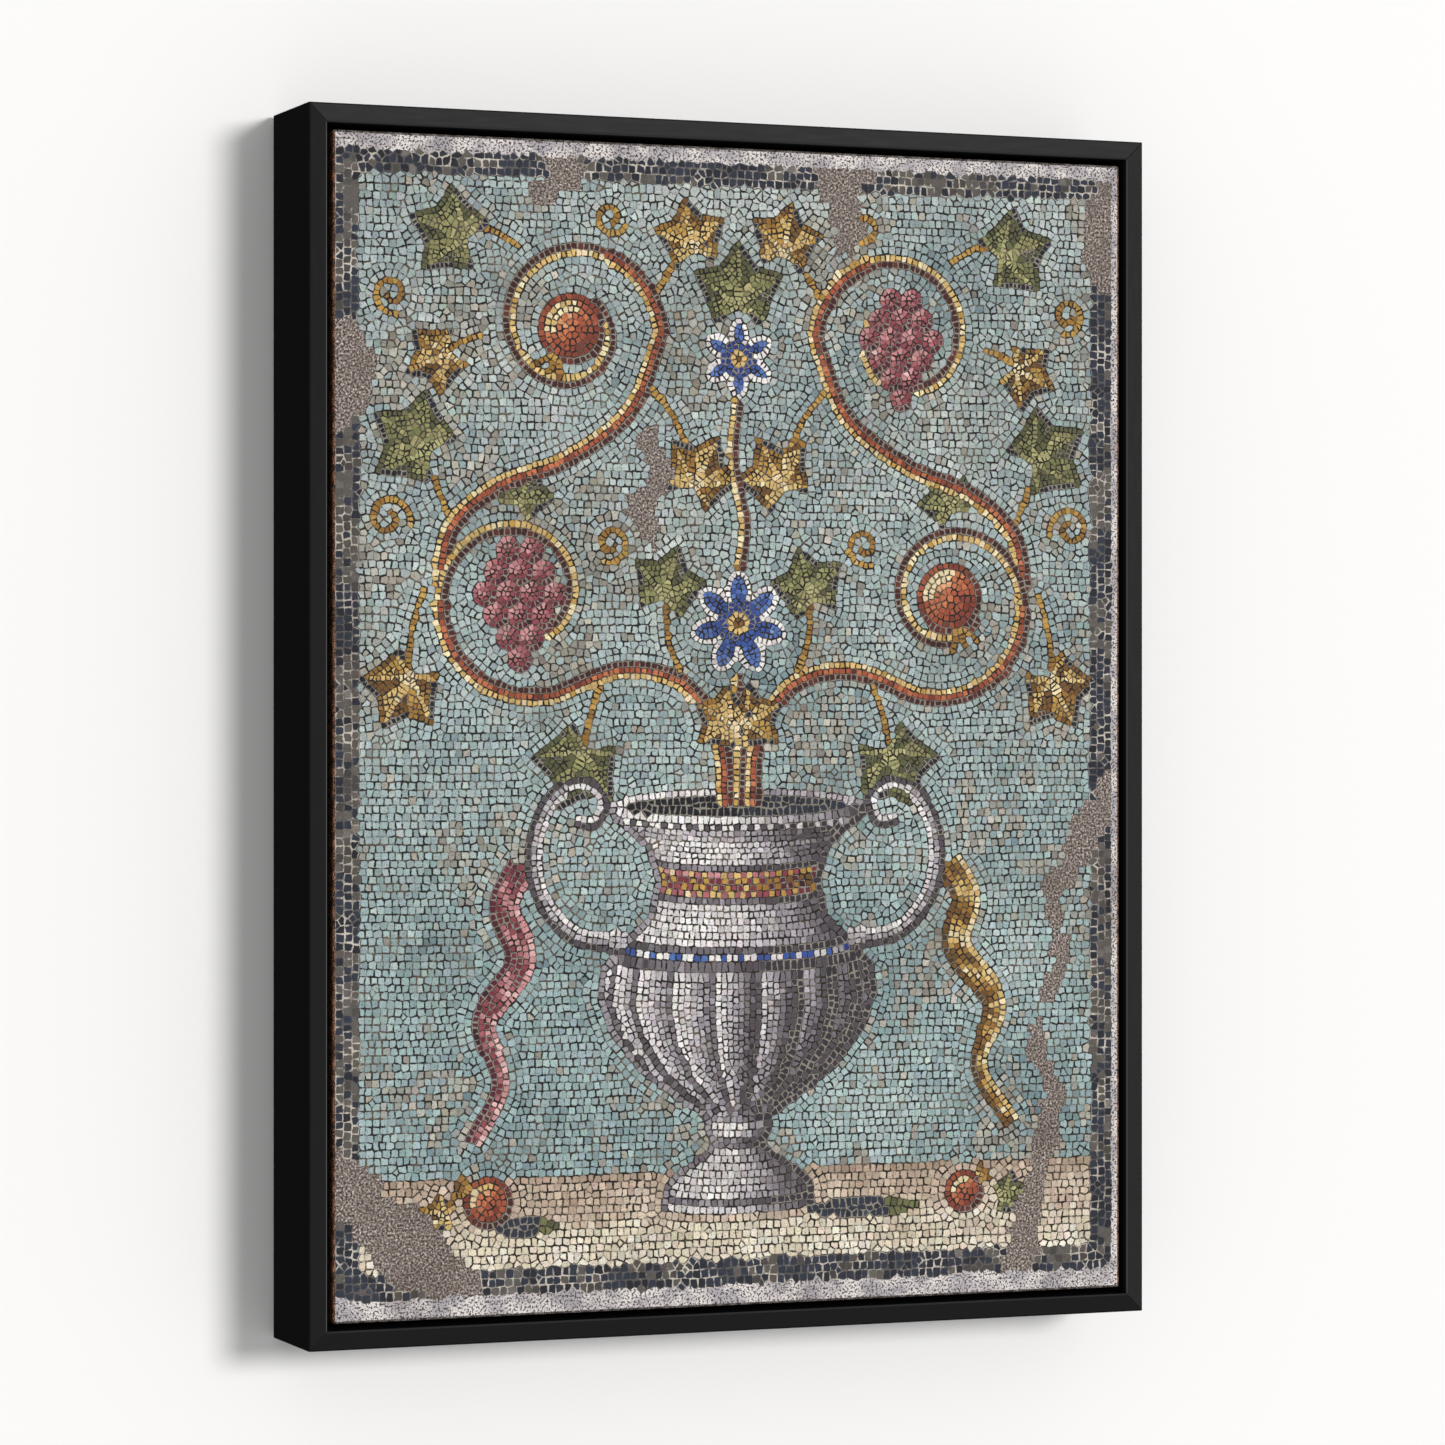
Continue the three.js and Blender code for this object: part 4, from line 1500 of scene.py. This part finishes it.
def makeStaples(zinc):
    # along the turned-in margin, a little askew as a hand gun leaves them
    tree = Repeater("margin staples", stapleSettings, zinc)
    half, wire = tree.input("Half width"), tree.input("Wire")
    values = {"Count": 4, "Start Location": tree.vector(x=half * -1.0), "Offset": tree.vector(x=half)}
    line = tree.node("GeometryNodeMeshLine", {"mode": "END_POINTS"}, values)
    x, _, _ = tree.parts(tree.node("GeometryNodeInputPosition"))
    inner = tree.math("LESS_THAN", tree.math("ABSOLUTE", x), half * 0.5)
    bent = tree.vector(x=x * (1.0 + 2.0 * inner), z=tree.input("Leg") * (inner - 1.0))
    line = tree.node("GeometryNodeSetPosition", values={"Geometry": line, "Position": bent})
    line = tree.node("GeometryNodeMeshToCurve", values=[line])
    line = tree.node("GeometryNodeFilletCurve", {"mode": "POLY"}, {"Curve": line, "Radius": wire, "Count": 2})
    section = tree.node("GeometryNodeCurvePrimitiveCircle", values={"Resolution": 8, "Radius": wire})
    values = {"Curve": line, "Profile Curve": section, "Fill Caps": True}
    staple = tree.node("GeometryNodeCurveToMesh", values=values)
    staple = tree.node("GeometryNodeTransform", values={"Geometry": staple, "Scale": (1.0, 1.0, 0.45)})
    path = tree.node("GeometryNodeMeshToCurve", values=[tree.input("Geometry")])
    path = tree.node("GeometryNodeResampleCurve", {"mode": "LENGTH"},
                     {"Curve": path, "Length": tree.input("Spacing")})
    ahead = tree.node("GeometryNodeInputTangent")
    lie = tree.node("FunctionNodeAlignRotationToVector", {"axis": "X"}, {"Vector": ahead})
    lie = tree.node("FunctionNodeAlignRotationToVector", {"axis": "Z", "pivot_axis": "X"},
                    {"Rotation": lie, "Vector": (0.0, 1.0, 0.0)})
    spread = tree.spread(path, staple, lie, tree.input("Askew") * -1.0, tree.input("Askew"))
    west, east = canvasLow.x + stapleInset, canvasHigh.x - stapleInset
    south, north = canvasLow.z + stapleInset, canvasHigh.z - stapleInset
    y = canvasHigh.y + stapleLift
    corners = [(west, y, south), (east, y, south), (east, y, north), (west, y, north)]
    piece = tree.make(spread, "margin_staples", corners, [(0, 1), (1, 2), (2, 3), (3, 0)])
    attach(piece, "root")
    print("screws and staples set")


# Stage and light

stageSettings = {
    "wallGap": 0.0006,
    "wallReach": 6.0,
    "floorDrop": 1.5,  # from the picture's middle to the floor
}


def oneSided(name, colour):  # seen from its front alone, so that the picture's back can be looked at
    finish = Finish(name)
    finish.set(Base_Color=linear(colour), Roughness=0.9, Specular_IOR_Level=0.1)
    clear = finish.node("ShaderNodeBsdfTransparent")
    behind = finish.node("ShaderNodeNewGeometry", output="Backfacing")
    shown = finish.node("ShaderNodeMixShader", values=[behind, Flow(finish, finish.shader.outputs[0]), clear])
    finish.feed(finish.output.inputs["Surface"], shown)
    return finish.material


def makeStage():
    reach = stageSettings["wallReach"]
    ground = pictureMiddle.z - stageSettings["floorDrop"]
    wallY = stageSettings["wallGap"]
    wall = [(-reach, wallY, ground), (reach, wallY, ground), (reach, wallY, reach), (-reach, wallY, reach)]
    floor = [(-reach, -reach, ground), (reach, -reach, ground), (reach, 0, ground), (-reach, 0, ground)]
    for name, corners, colour in (("wall", wall, (244, 243, 242)), ("floor", floor, (232, 231, 229))):
        data = bpy.data.meshes.new(name)
        data.from_pydata(corners, [], [(0, 1, 2, 3)])
        data.materials.append(oneSided(name, colour))
        piece = newObject(name, data)
        piece.visible_diffuse = False
        piece.visible_glossy = False
        piece.visible_shadow = False


def addLight(name, place, aim, size, power):
    lamp = newObject(name, bpy.data.lights.new(name, "AREA"))
    lamp.data.shape = "ELLIPSE"
    lamp.data.size, lamp.data.size_y = size
    lamp.data.energy = power
    lamp.location = place
    lamp.rotation_euler = (Vector(aim) - Vector(place)).to_track_quat("-Z", "Y").to_euler()


lightSettings = {
    "front": 0.505,  # strength of the world's light from the room's side
    "behind": 0.06,
    "seen": 0.88,  # as the camera sees it
    "keyPlace": (6.46, -18.0, 2.85),
    "keyAim": (-12.0, 0.0, -0.3),  # past the picture, so that the wall is lit evenly
    "keySize": (6.4, 4.4),
    "keyPower": 2640.0,
    "backPlace": (1.9, 3.4, 1.2),
    "backAim": (0.0, 0.0, -0.3),
    "backSize": (2.2, 2.2),
    "backPower": 130.0,
}


def makeLight():
    world = bpy.data.worlds.new("studio")
    world.use_nodes = True
    graph = Graph(world.node_tree)
    backdrop = world.node_tree.nodes["Background"]
    _, depth, _ = graph.parts(graph.node("ShaderNodeTexCoord", output="Generated"))
    values = [depth, 0.25, -0.15, lightSettings["behind"], lightSettings["front"]]
    strength = graph.node("ShaderNodeMapRange", {"interpolation_type": "SMOOTHSTEP"}, values)
    seen = graph.node("ShaderNodeLightPath", output="Is Camera Ray")
    strength = graph.node("ShaderNodeMix", values={0: seen, 2: strength, 3: lightSettings["seen"]})
    graph.feed(backdrop.inputs["Strength"], strength)
    graph.feed(backdrop.inputs["Color"], (1, 1, 1, 1))
    bpy.context.scene.world = world
    for name in ("key", "back"):
        addLight(name, *(lightSettings[name + part] for part in ("Place", "Aim", "Size", "Power")))
    print("stage and light set")


makeCanvas()
finishModel()
makeStage()
makeLight()
